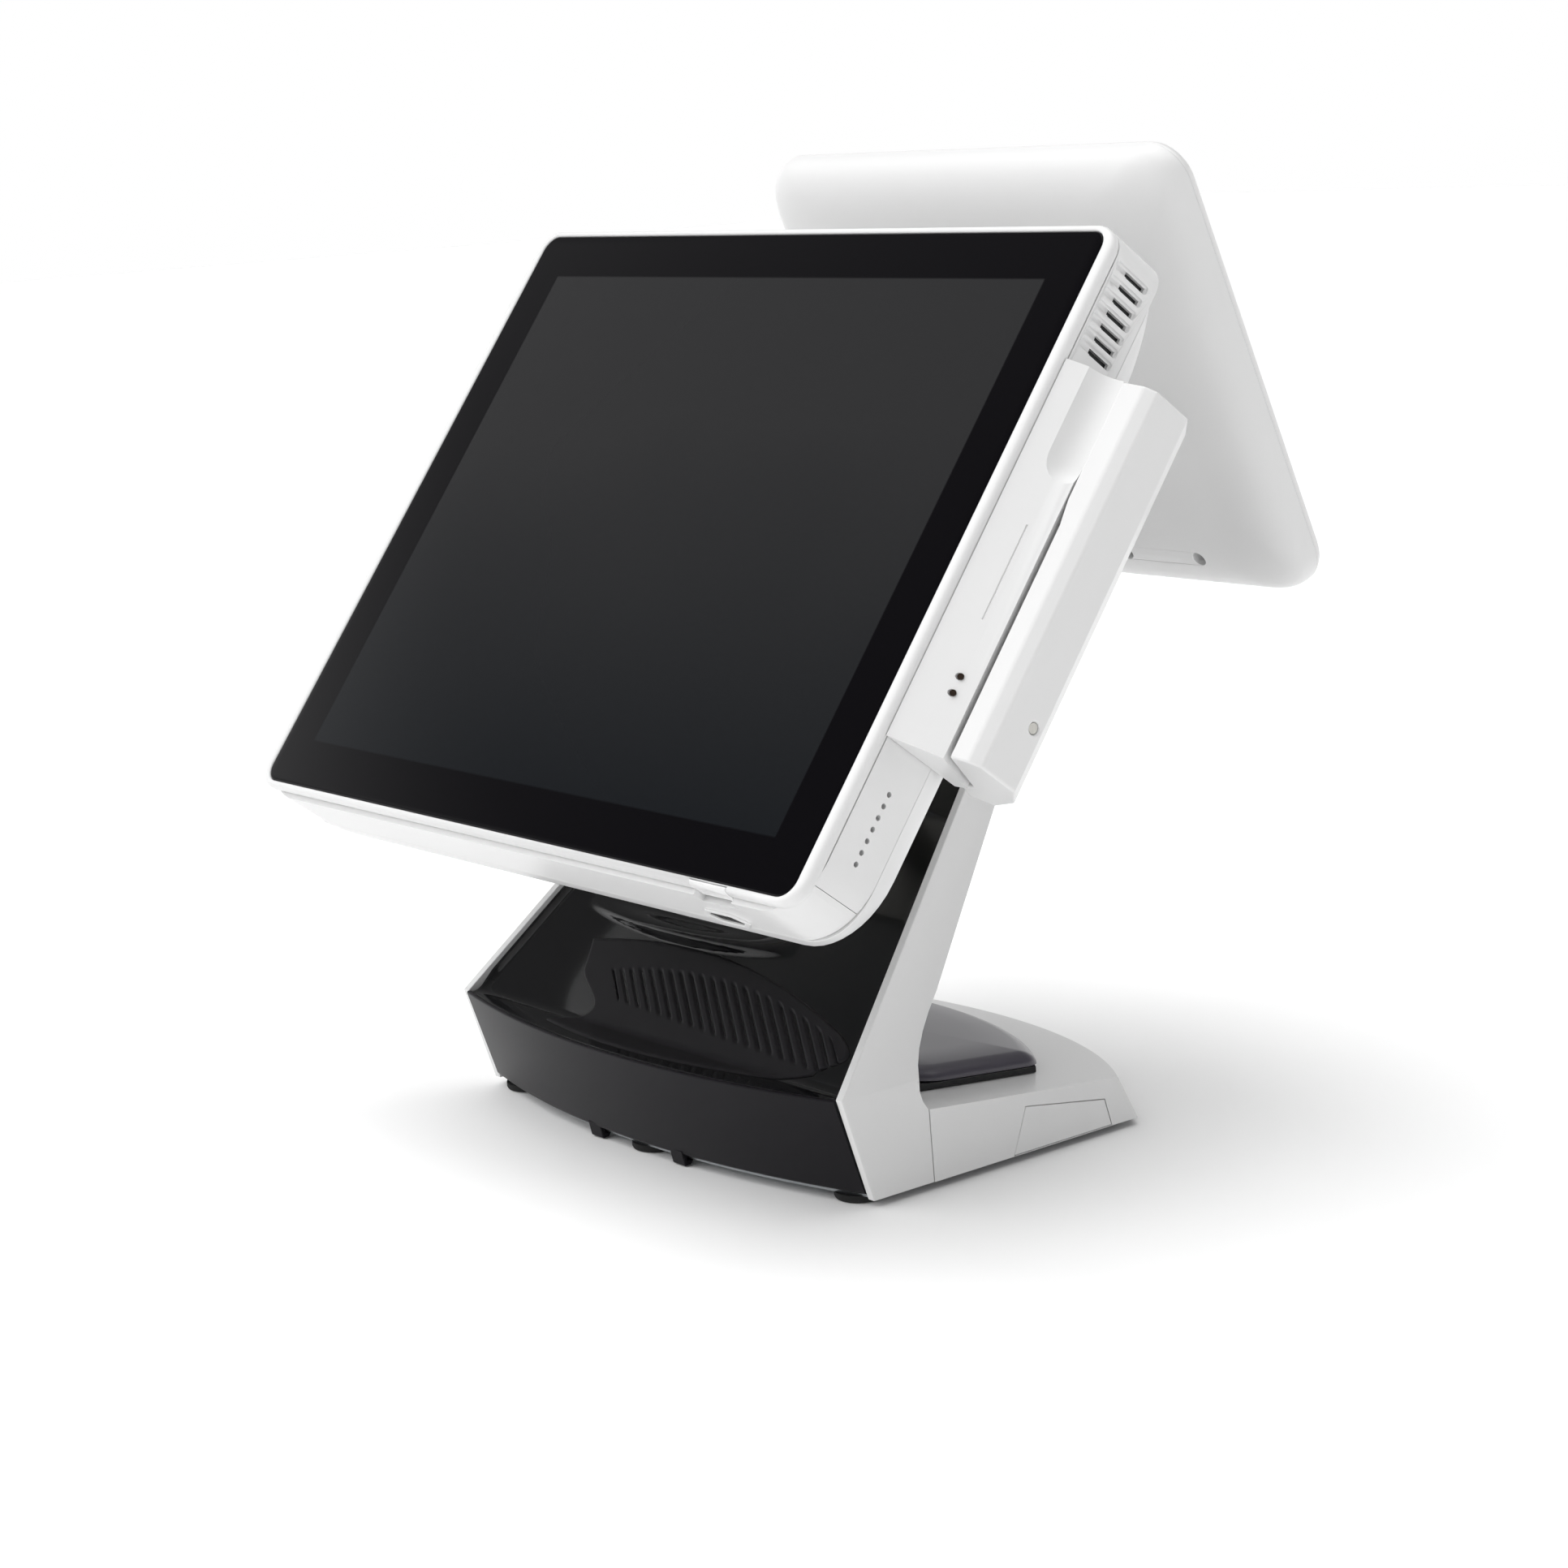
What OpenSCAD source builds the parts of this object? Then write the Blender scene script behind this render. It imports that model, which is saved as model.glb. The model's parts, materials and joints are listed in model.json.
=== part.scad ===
// Countertop point-of-sale terminal: a Z-shaped stand, a tilting touch display with a
// card reader on its right side, and a second display at the back for the customer.
// Millimetres. +X is the user's right, +Y points away from the user, +Z is up.
// The origin is on the ground, at the centre of the front foot.

/* [Base] */
// Overall width of the stand, over the side panels
base_w = 248; // [220:1:280]
// Radius of the curved front band at its top edge, in plan
band_r_top = 434; // [380:1:500]
// How far the band's top edge overhangs its bottom edge
band_overhang = 12.5; // [4:0.5:16]
// Distance from the front foot forward to the band's top edge
band_reach = 24; // [22:0.5:30]
// Height of the front band's top edge
band_top_z = 44; // [38:1:52]
// Height of the front band's bottom edge
band_bottom_z = 5; // [5:0.5:8]
// Wall of the stand's plastic covers
cover_wall = 2.5; // [2:0.1:3.5]
// Thickness of the white side panels
panel_t = 3.5; // [2.5:0.1:5]
// Thickness of the steel base plate
plate_t = 2; // [1.5:0.1:3]
// Height of the rubber feet
foot_h = 3; // [2.5:0.1:5]
// Diameter of the rubber feet
foot_d = 20; // [14:1:24]

/* [Arm] */
// Lean of the arm from the vertical, in degrees
arm_lean = 45.2; // [43:0.2:47]
// Inward lean of the arm's two sides, in degrees
arm_taper = 19; // [14:0.5:20]
// Height of the arm's top edge
arm_top_z = 200; // [180:1:206]
// Horizontal depth of the upper arm
arm_depth = 20; // [20:0.5:26]
// How far the gloss cover sits back from the panels' front edges
cover_recess = 3.5; // [2:0.5:4]
// Thickness of the steel neck frame
neck_t = 2.5; // [2:0.1:2.6]
// Width of the steel neck frame
neck_w = 124; // [112:1:130]

/* [Rear deck] */
// Distance from the front foot to the deck's rear edge
deck_end = 178; // [165:1:200]
// Radius of the deck's rear edge in plan
deck_r = 207; // [190:1:240]
// Height of the deck's top at its front
deck_front_z = 31.5; // [28:0.5:36]
// Height of the deck's top at its rear edge
deck_rear_z = 17; // [14:0.5:22]
// Width of the cable cover
cable_cover_w = 202; // [180:1:214]
// How far the cable cover stands above the deck
cable_cover_rise = 8; // [6:0.5:12]

/* [Head] */
// Tilt of the screen from the vertical, in degrees
screen_tilt = 37.3; // [33:0.1:40]
// Height of the screen's centre
screen_z = 246; // [242:1:256]
// Distance of the screen's centre behind the front foot
screen_y = 17; // [12:1:20]
// Width of the cover glass
glass_w = 346; // [335:1:355]
// Height of the cover glass
glass_h = 269; // [262:1:275]
// Thickness of the cover glass
glass_t = 3; // [2:0.1:3]
// Visible white rim of the bezel at the left and right
rim_side = 5.5; // [4:0.1:7]
// Visible white rim of the bezel at the top and bottom
rim_end = 3; // [2.6:0.1:4]
// Depth of the bezel frame
bezel_d = 4.2; // [4:0.1:5]
// Depth at which the side frame ends and the rear housing begins
side_d = 28; // [27:0.5:30]
// Depth of the whole head
head_d = 60; // [58:0.5:66]
// Wall of the head's housings
head_wall = 2.5; // [2:0.1:3]
// Width of the recess for the neck in the rear housing
notch_w = 172; // [150:1:190]
// Depth left at the bottom of that recess
notch_d = 46; // [44:0.5:50]

/* [Hinges] */
// Diameter of the head's hinge shaft
shaft_d = 10; // [8:0.5:12]
// Radial running clearance of a shaft in its bracket
shaft_fit = 0.05; // [0.02:0.01:0.1]
// Distance between the outer faces of the head leaf's two ears
leaf_span = 72; // [60:1:80]
// Thickness of each steel ear
ear_t = 6; // [4:0.5:8]
// Thickness of each friction washer
washer_t = 1.2; // [0.8:0.1:2]
// Depth of the head's hinge axis behind the glass
hinge_depth = 72; // [70:0.5:76]
// Height of the head's hinge axis below the screen's centre
hinge_drop = 10; // [6:0.5:14]

/* [Card reader] */
// Length of the card reader
reader_len = 152; // [140:1:160]
// Place of the reader's lower end below the screen's centre
reader_low = 69; // [60:1:72]
// How far the reader stands out from the head's side
reader_out = 31; // [29:0.5:34]
// Width of the card slot
slot_w = 1.8; // [1.2:0.1:2.2]

/* [Power button] */
// Width of the power button
button_w = 20.6; // [16:0.2:26]
// Place of the power button right of the screen's centre
button_x = 129.8; // [100:0.2:140]
// Travel of the power button
button_travel = 1.2; // [0.6:0.1:1.4]

/* [Customer display] */
// Width of the customer display
rear_w = 246; // [230:1:260]
// Height of the customer display
rear_h = 198; // [190:1:206]
// Tilt of the customer display from the vertical, in degrees
rear_tilt = 23.1; // [20:0.1:26]
// Height of its centre
rear_z = 291; // [286:1:296]
// Distance of its centre behind the front foot
rear_y = 225.4; // [222:0.2:234]
// Depth of its domed back cover
rear_back_d = 20; // [16:0.5:24]
// Depth of its front frame
rear_front_d = 6; // [5:0.5:8]
// Diameter of its hinge shaft
rear_shaft_d = 6; // [5:0.5:8]

/* [Hidden] */
$fn = 64;

// gap between parts that only lie next to each other
seam = 0.3;
// overlap used to cut cleanly through a face
cut = 1;
plate_z = foot_h;
plate_top = plate_z + plate_t;

// front band and the cone that its outer face lies on
band_y = -band_reach + band_r_top;
band_r_bottom = band_r_top - band_overhang;
band_slope = band_overhang / (band_top_z - band_bottom_z);
panel_in = base_w / 2 - panel_t;
// y of the band's end at its top edge, where the side panel's knee is
knee_y = band_y - sqrt(pow(band_r_top, 2) - pow(base_w / 2, 2));
toe_y = band_y - sqrt(pow(band_r_bottom, 2) - pow(base_w / 2, 2));

// arm: the front edge is a straight line from the knee
function arm_front(z) = knee_y + (z - band_top_z) * tan(arm_lean);
function arm_back(z) = arm_front(z) + arm_depth;
cover_set = cover_recess / cos(arm_lean);
wall_set = cover_wall / cos(arm_lean);
// rear edge of the lower arm, the crook and the seam to the deck
seam_y = 36;
crook_pull = [23, 46];
crook_top = [51.3, 72.5];
arm_turn_z = 139;
function bend(a, b, c, t) = pow(1 - t, 2) * a + 2 * t * (1 - t) * b + t * t * c;
crook_steps = 8;
crook = [for (i = [0:crook_steps]) bend([seam_y, deck_front_z], crook_pull, crook_top, i / crook_steps)];

// rear deck
deck_slope = (deck_front_z - deck_rear_z) / (deck_end - seam_y);
function deck_z(y) = deck_front_z - (y - seam_y) * deck_slope;
deck_y = deck_end - deck_r;
deck_flare = 6;
cable_front = 50;
cable_end = deck_end - 29;
cable_r = 160;
bay_margin = 8;
door_points = [[78, 3.4], [130, 3.4], [126.6, 14.4], [84.9, 21.2]];
door_t = 2.5;
io_y = 62;
io_w = 168;
io_top = 24;

// head frame
hinge_y = screen_y - hinge_drop * sin(screen_tilt) + hinge_depth * cos(screen_tilt);
hinge_z = screen_z - hinge_drop * cos(screen_tilt) - hinge_depth * sin(screen_tilt);
bezel_w = glass_w + 2 * rim_side;
bezel_h = glass_h + 2 * rim_end;
glass_r = 7;
bezel_r = 12;
top_r = 12;
low_r = 24;
shell_low = 139.5;
shell_high = bezel_h / 2;
split_v = -126;
lcd_w = 326;
lcd_h = 253;
lcd_d = 9;
lcd_front = glass_t + 0.2;
chassis_n = lcd_front + lcd_d + seam;
chassis_t = 1.5;
board_n = chassis_n + chassis_t + 5;
board_t = 1.6;
notch_top = 48;
leaf_t = 3;
leaf_w = 116;
leaf_h = 86;
leaf_hole = 4.2;
// screw pattern of the head leaf
leaf_x = 100;
leaf_v = 50;
ear_r = 9;
bracket_x = leaf_span / 2 + washer_t;

// card reader section, (x, n), where n is measured from the glass and is negative behind it
side_x = bezel_w / 2;
slot_top = [side_x + 17.8, -15.8];
slot_end = [side_x + 6.6, -41];
slot_dir = (slot_top - slot_end) / norm(slot_top - slot_end);
slot_step = slot_w * [-slot_dir[1], slot_dir[0]];
lamp_pitch = 6.4;

// power button
button_h = rim_end - 0.7;
button_d = 8;

// customer display
rear_r = 17;
rear_axis_v = -35;
rear_axis_n = -(rear_back_d + 10);
rear_axis_y = rear_y - rear_axis_v * sin(rear_tilt) + rear_axis_n * cos(rear_tilt);
rear_axis_z = rear_z + rear_axis_v * cos(rear_tilt) + rear_axis_n * sin(rear_tilt);
rear_leaf_t = 2.5;
rear_ear_t = 4;
rear_ear_gap = 40;
rear_ear_r = 6.5;
rear_screw_x = [33.5, 75.5];
rear_screw_v = -80;
core_w = 34;
core_t = 2.5;

white = [0.92, 0.92, 0.93];
gloss_black = [0.03, 0.03, 0.035];
satin_black = [0.13, 0.12, 0.14];
steel = [0.62, 0.63, 0.65];
zinc = [0.72, 0.72, 0.7];
board_green = [0.05, 0.28, 0.16];

module in_head() translate([0, screen_y, screen_z]) rotate([90 - screen_tilt, 0, 0]) children();
module in_rear() translate([0, rear_y, rear_z]) rotate([90 - rear_tilt, 0, 180]) children();
// extrude a side outline, drawn as (y, z), across the width
module across(w) rotate([90, 0, 90]) translate([0, 0, -w / 2]) linear_extrude(w) children();
module both_sides() {
    children();
    mirror([1, 0, 0]) children();
}
module round_rect(w, h, r) {
    square([w - 2 * r, h], center = true);
    square([w, h - 2 * r], center = true);
    for (sx = [-1, 1], sy = [-1, 1])
        translate([sx * (w / 2 - r), sy * (h / 2 - r)]) circle(r);
}
// a rounded slab between two depths behind the glass
module slab(w, h, r, front, back) translate([0, 0, -back]) linear_extrude(back - front) round_rect(w, h, r);

// outline of the stand seen from the front: upright to the band's top, then leaning inwards
module front_outline(inset) {
    half = base_w / 2 - inset;
    turn = band_top_z - inset * tan(arm_taper / 2);
    high = arm_top_z + cut;
    top_half = half - (high - turn) * tan(arm_taper);
    polygon([[-half, 0], [half, 0], [half, turn], [top_half, high], [-top_half, high], [-half, turn]]);
}
module wedge(inset)
    translate([0, 2 * base_w, 0]) rotate([90, 0, 0]) linear_extrude(4 * base_w) front_outline(inset);

// ---------- stand ----------

module band_cone(inset) {
    low = foot_h - cut;
    high = band_top_z + cut;
    translate([0, band_y, low])
        cylinder(
            h = high - low,
            r1 = band_r_bottom - inset + (low - band_bottom_z) * band_slope,
            r2 = band_r_top - inset + (high - band_top_z) * band_slope,
            $fn = 180
        );
}

module deck_cone(inset) {
    fall = deck_flare / (deck_rear_z - plate_z);
    translate([0, deck_y, 0])
        cylinder(
            h = 2 * deck_rear_z,
            r1 = deck_r - inset + fall * deck_rear_z,
            r2 = deck_r - inset - fall * deck_rear_z,
            $fn = 180
        );
}

foot_places = [[0, 0], [108, 14], [-108, 14], [82, 132], [-82, 132]];
screw_places = [[50, 22], [-50, 22], [40, 150], [-40, 150]];

module base_plate()
    color(steel)
        difference() {
            intersection() {
                translate([0, 0, plate_z]) cylinder(h = plate_t, r = 4 * base_w);
                translate([-panel_in + seam, -base_w, 0]) cube([2 * (panel_in - seam), 3 * base_w, base_w]);
                band_cone(cover_wall + seam);
                deck_cone(cover_wall + seam);
            }
            for (p = screw_places)
                translate([p[0], p[1], plate_z - cut]) cylinder(h = plate_t + 2 * cut, d = 3.4);
        }

module rubber_feet()
    color([0.06, 0.06, 0.06])
        for (p = foot_places)
            translate([p[0], p[1], 0]) {
                cylinder(h = 1, d1 = foot_d - 1.5, d2 = foot_d);
                translate([0, 0, 1]) cylinder(h = foot_h - 1, d = foot_d);
            }

module base_screws()
    color(zinc)
        for (p = screw_places)
            translate([p[0], p[1], plate_z - 1.6]) {
                cylinder(h = 1.6, d = 6);
                cylinder(h = 8.6, d = 3);
            }

tab_x = 27;
tab_w = 8;
tab_top = plate_z + 4;
tab_y = band_y - sqrt(pow(band_r_bottom, 2) - pow(tab_x - tab_w / 2, 2));
module front_tabs()
    color(satin_black)
        both_sides()
            translate([tab_x, tab_y, 0])
                rotate([90, 0, 90])
                    linear_extrude(tab_w, center = true)
                        polygon([
                            [-0.4, tab_top], [1.1, 0.5], [4.1, 0.5], [5.6, plate_z - seam],
                            [cover_wall, plate_z - seam], [cover_wall, tab_top]
                        ]);

module front_band()
    color(satin_black)
        difference() {
            intersection() {
                translate([-panel_in + seam, -base_w, band_bottom_z])
                    cube([2 * (panel_in - seam), base_w + seam_y, band_top_z - band_bottom_z]);
                band_cone(0);
            }
            band_cone(cover_wall);
            both_sides()
                translate([tab_x - tab_w / 2 - seam, -base_w, 0])
                    cube([tab_w + 2 * seam, base_w, tab_top + seam]);
        }

panel_outline = concat(
    [[toe_y, foot_h], [knee_y, band_top_z], [arm_front(arm_top_z), arm_top_z],
        [arm_back(arm_top_z), arm_top_z]],
    [[arm_back(arm_turn_z), arm_turn_z]],
    [for (i = [crook_steps:-1:0]) crook[i]],
    [[seam_y + 1, foot_h]]
);

module side_panel()
    intersection() {
        across(2 * base_w) polygon(panel_outline);
        difference() {
            wedge(0);
            wedge(panel_t);
        }
        translate([0, -base_w, 0]) cube(3 * base_w);
    }

module side_panel_right() color(white) side_panel();
module side_panel_left() color(white) mirror([1, 0, 0]) side_panel();

// gloss cover: a flat ledge behind the band, then the recessed front of the arm
function cover_front(z) = arm_front(z) + cover_set;
ear_slot = 2 * (bracket_x + ear_t + 2);
module tray_cover()
    color(gloss_black)
        difference() {
            intersection() {
                wedge(panel_t + seam);
                across(base_w)
                    polygon([
                        [-2 * band_reach, band_top_z - cover_wall],
                        [cover_front(band_top_z) + wall_set / 3, band_top_z - cover_wall],
                        [cover_front(arm_top_z) + wall_set, arm_top_z], [cover_front(arm_top_z), arm_top_z],
                        [cover_front(band_top_z), band_top_z], [-2 * band_reach, band_top_z]
                    ]);
                union() {
                    band_cone(cover_wall + seam);
                    translate([-base_w, knee_y, band_top_z]) cube([2 * base_w, base_w, arm_top_z]);
                }
            }
            translate([-ear_slot / 2, 0, hinge_z - bracket_low - 1]) cube([ear_slot, base_w, arm_top_z]);
        }

module tray_inset()
    color(satin_black)
        translate([0, cover_front(band_top_z), band_top_z])
            rotate([90 - arm_lean, 0, 0])
                difference() {
                    translate([-85, 8, seam / 3]) cube([170, 48, 1.6]);
                    for (i = [-10:10])
                        translate([i * 7 - 1, 14, 1]) cube([2, 36, cut]);
                }

// the rear cover closes the arm's top, behind the gloss cover
cover_back = cover_front(arm_top_z) + wall_set + seam;
lid_z = arm_top_z - cover_wall;
module neck_rear_cover()
    color(white)
        difference() {
            intersection() {
                wedge(panel_t + seam);
                across(base_w)
                    polygon(concat(
                        [for (i = [0:crook_steps]) crook[i]],
                        [[arm_back(arm_turn_z), arm_turn_z], [arm_back(arm_top_z), arm_top_z]],
                        [[cover_back, arm_top_z], [cover_back - cover_wall * tan(arm_lean), lid_z]],
                        [[arm_back(lid_z) - wall_set, lid_z]],
                        [[arm_back(arm_turn_z) - wall_set, arm_turn_z]],
                        [for (i = [crook_steps:-1:0]) crook[i] - [cover_wall, 0]]
                    ));
            }
            translate([-core_w / 2 - 1, arm_front(arm_top_z), lid_z - 0.5])
                cube([core_w + 2, arm_depth, 2 * cover_wall]);
        }

// front face of the steel neck frame, just behind the gloss cover
function neck_y(z) = cover_front(z) + wall_set + 0.5;
neck_top = arm_top_z - cover_wall - 1;
neck_set = neck_t / cos(arm_lean);
neck_low = band_top_z + 2;
// the frame stays between the side panels where they are closest, at its top
frame_gap = (neck_top - band_top_z) * tan(arm_taper) + panel_t / cos(arm_taper) + seam;
frame_w = min(neck_w, base_w - 2 * frame_gap);
neck_web = neck_y(neck_low);
neck_foot = 28;
module neck_frame()
    color(steel)
        difference() {
            across(frame_w)
                polygon([
                    [neck_web, plate_top], [neck_web, neck_low], [neck_y(neck_top), neck_top],
                    [neck_y(neck_top) + neck_set, neck_top], [neck_web + neck_set, neck_low],
                    [neck_web + neck_set, plate_top + neck_t], [neck_web + neck_foot, plate_top + neck_t],
                    [neck_web + neck_foot, plate_top]
                ]);
            for (p = screw_places)
                translate([p[0], p[1], plate_top - cut]) cylinder(h = neck_t + 2 * cut, d = 3.4);
        }

// steel gusset that carries the head's shaft, welded to the front of the neck frame
bracket_low = 64;
module hinge_bracket()
    color(zinc)
        difference() {
            union() {
                translate([bracket_x, hinge_y, hinge_z]) rotate([0, 90, 0]) cylinder(h = ear_t, r = ear_r);
                translate([bracket_x, 0, 0])
                    rotate([90, 0, 90])
                        linear_extrude(ear_t)
                            polygon([
                                [hinge_y, hinge_z + ear_r - 0.5], [neck_y(hinge_z), hinge_z],
                                [neck_y(hinge_z - bracket_low), hinge_z - bracket_low],
                                [hinge_y - 3, hinge_z - ear_r + 1]
                            ]);
            }
            translate([0, hinge_y, hinge_z])
                rotate([0, 90, 0]) cylinder(h = 2 * bracket_x, r = shaft_d / 2 + shaft_fit);
        }
module hinge_bracket_right() hinge_bracket();
module hinge_bracket_left() mirror([1, 0, 0]) hinge_bracket();

module friction_washers()
    color([0.75, 0.6, 0.35])
        both_sides()
            translate([bracket_x - washer_t + 0.1, hinge_y, hinge_z])
                rotate([0, 90, 0])
                    difference() {
                        cylinder(h = washer_t - 0.1, d = shaft_d + 7);
                        translate([0, 0, -cut])
                            cylinder(h = washer_t + 2 * cut, r = shaft_d / 2 + shaft_fit);
                    }

module deck_body(inset, lift, front = seam_y + seam) {
    intersection() {
        across(base_w - 2 * inset)
            polygon([
                [front + 1, lift], [front, deck_z(front) - inset],
                [deck_end + 20, deck_z(deck_end + 20) - inset], [deck_end + 20, lift]
            ]);
        deck_cone(inset);
    }
}

module bay_outline(inset, top_rise, low) {
    intersection() {
        translate([0, cable_end - cable_r, 0]) cylinder(h = 100, r = cable_r - inset, $fn = 120);
        across(cable_cover_w - 2 * inset)
            polygon([
                [cable_front + inset, low], [cable_front + inset, deck_z(cable_front + inset) + top_rise],
                [cable_end, deck_z(cable_end) + top_rise], [cable_end, low]
            ]);
    }
}

module door_solid(grow, t)
    translate([base_w / 2 - t, 0, 0])
        rotate([90, 0, 90])
            linear_extrude(t)
                polygon([
                    door_points[0] - [grow, 0.5 * grow], door_points[1] + [grow, -0.5 * grow],
                    door_points[2] + [grow, grow], door_points[3] + [-grow, grow]
                ]);

inlet_x = 64;
inlet_d = 8;
inlet_wall = 1.5;
inlet_z = plate_top + inlet_d / 2 + inlet_wall + 0.7;
exit_w = 18;
exit_top = inlet_z + inlet_d / 2 + 0.9;
// cables leave the bay through a slot at the rear, in line with the power inlet
module cable_exit()
    translate([inlet_x - exit_w / 2, cable_front + 30, 0]) cube([exit_w, deck_end, exit_top]);

module rear_deck()
    color(white)
        difference() {
            deck_body(0, foot_h);
            deck_body(cover_wall, 0, seam_y - 4);
            bay_outline(bay_margin, cut, foot_h);
            both_sides() door_solid(seam, door_t + cut);
            cable_exit();
        }

// two eight-way jacks, three flat serial sockets and the round power inlet
jack_x = [-66, -44];
flat_x = [-18, 4, 26];
io_z = plate_top + 9;
io_d = 16;
jack_w = 16;
jack_h = 13.5;
flat_w = 14.5;
flat_h = 7;
module panel_hole(x, w, h)
    translate([x - w / 2 - 0.2, io_y - cut, io_z - h / 2 - 0.2]) cube([w + 0.4, 1 + 2 * cut, h + 0.4]);
module io_panel()
    color(steel)
        difference() {
            translate([-io_w / 2, io_y, plate_top]) cube([io_w, 1, io_top - plate_top]);
            for (x = jack_x) panel_hole(x, jack_w, jack_h);
            for (x = flat_x) panel_hole(x, flat_w, flat_h);
            translate([inlet_x, io_y + 2, inlet_z])
                rotate([90, 0, 0]) cylinder(h = 4, d = inlet_d + 2 * inlet_wall + 0.4);
        }

io_face = io_y + 1.5;
module jack_sockets()
    color([0.7, 0.7, 0.72])
        for (x = jack_x)
            difference() {
                translate([x - jack_w / 2, io_face - io_d, io_z - jack_h / 2]) cube([jack_w, io_d, jack_h]);
                translate([x - 5.9, io_face - io_d + 3, io_z - 4.5]) cube([11.8, io_d, 9]);
            }

module serial_sockets()
    color([0.7, 0.7, 0.72])
        for (x = flat_x)
            difference() {
                translate([x - flat_w / 2, io_face - io_d, io_z - flat_h / 2]) cube([flat_w, io_d, flat_h]);
                translate([x - 6.2, io_face - io_d + 4, io_z - 2.5]) cube([12.4, io_d, 1.6]);
                translate([x - 6.2, io_face - io_d + 4, io_z + 1.1]) cube([12.4, io_d, 1.4]);
            }

module power_inlet()
    color([0.1, 0.1, 0.1])
        translate([inlet_x, io_face, inlet_z])
            rotate([90, 0, 0])
                difference() {
                    cylinder(h = io_d, d = inlet_d + 2 * inlet_wall);
                    translate([0, 0, -cut]) cylinder(h = io_d - 3, d = inlet_d);
                }

module io_board()
    color(board_green)
        translate([-80, neck_web + neck_foot + 1, io_z - jack_h / 2 - board_t])
            cube([134, io_y - neck_web - neck_foot - 2, board_t]);

module cable_cover()
    color([0.55, 0.54, 0.57])
        difference() {
            bay_outline(0, cable_cover_rise, deck_z(cable_end) + 3);
            bay_outline(-cut, 3, 0);
            bay_outline(2, cable_cover_rise - 2, 0);
        }

module cable_cover_skirt()
    color(gloss_black)
        difference() {
            bay_outline(0.6, 3 - 0.01, foot_h);
            bay_outline(2.6, cable_cover_rise, 0);
            bay_outline(-cut, seam, 0);
            cable_exit();
        }

module cable_door() color(white) door_solid(0, door_t);
module cable_door_right() cable_door();
module cable_door_left() mirror([1, 0, 0]) cable_door();

// ---------- head, drawn with x right, y up the screen and z towards the user ----------

module bezel_frame()
    color(white)
        in_head()
            difference() {
                slab(bezel_w, bezel_h, bezel_r, 0, bezel_d);
                slab(glass_w + 0.4, glass_h + 0.4, glass_r + 0.2, -cut, glass_t);
                slab(lcd_w + 1, lcd_h + 1, 2, -cut, bezel_d + cut);
                translate([button_x - button_w / 2 - 0.2, -bezel_h / 2 - cut, -bezel_d - cut])
                    cube([button_w + 0.4, cut + button_h + 0.3, bezel_d + 2 * cut]);
            }

module touch_glass() color([0.02, 0.02, 0.025]) in_head() slab(glass_w, glass_h, glass_r, 0, glass_t);

module lcd_module()
    color([0.2, 0.21, 0.22]) in_head() slab(lcd_w, lcd_h, 2, lcd_front, lcd_front + lcd_d);

module leaf_holes(d, from, to)
    for (sx = [-1, 1], sy = [-1, 1])
        translate([sx * leaf_x / 2, sy * leaf_v / 2 - hinge_drop, -to]) cylinder(h = to - from, d = d);

module chassis_plate()
    color(steel)
        in_head()
            difference() {
                union() {
                    slab(lcd_w - 4, lcd_h - 6, 4, chassis_n, chassis_n + chassis_t);
                    for (sx = [-1, 1], sy = [-1, 1])
                        translate([sx * 95, sy * 65, -board_n]) cylinder(h = board_n - chassis_n, d = 6);
                }
                for (x = [-120, 120])
                    translate([x, 90, -chassis_n - chassis_t - cut]) cylinder(h = 4, d = 24);
            }

module mainboard()
    color(board_green)
        in_head() {
            slab(210, 150, 3, board_n, board_n + board_t);
            translate([-60, 50, -board_n - board_t - 6]) cube([120, 8, 6]);
            translate([60, -60, -board_n - board_t - 9]) cube([36, 30, 9]);
        }

module heat_sink()
    color([0.68, 0.69, 0.7])
        in_head()
            translate([-45, -40, -board_n - board_t]) {
                translate([0, 0, -4]) cube([90, 72, 4]);
                for (i = [0:9]) translate([i * 9.7, 0, -15]) cube([2, 72, 11.5]);
            }

module solid_state_drive()
    color([0.16, 0.16, 0.18]) in_head()
        translate([-158, -50, -chassis_n - chassis_t - 7]) cube([50, 100, 7]);

module vents(front, depth)
    for (i = [0:6])
        translate([side_x - depth, 90 + i * 5.4, -23])
            cube([depth + cut, 2.6, 23 - front]);

module speaker_holes()
    for (i = [0:6])
        translate([side_x - 6, -112.5 + i * 4.5, -16]) rotate([0, 90, 0]) cylinder(h = 8, d = 2.1);

module shell_outline(inset) {
    half = side_x - inset;
    top = shell_high - inset;
    low = shell_low - inset;
    rt = top_r - inset;
    rb = low_r - inset;
    translate([-half, -low + rb]) square([2 * half, top + low - rt - rb]);
    translate([-half + rt, 0]) square([2 * (half - rt), top]);
    translate([-half + rb, -low]) square([2 * (half - rb), low]);
    for (s = [-1, 1]) {
        translate([s * (half - rt), top - rt]) circle(rt);
        translate([s * (half - rb), -low + rb]) circle(rb);
    }
}
module shell_ring(front, back)
    translate([0, 0, -back])
        difference() {
            linear_extrude(back - front) shell_outline(0);
            translate([0, 0, -cut]) linear_extrude(back - front + 2 * cut) shell_outline(head_wall);
        }

module side_frame()
    color(white)
        in_head()
            difference() {
                shell_ring(bezel_d + 0.2, side_d);
                translate([-bezel_w, split_v - bezel_h, -head_d]) cube([2 * bezel_w, bezel_h, 2 * head_d]);
                vents(12, head_wall + cut);
                speaker_holes();
            }

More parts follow.
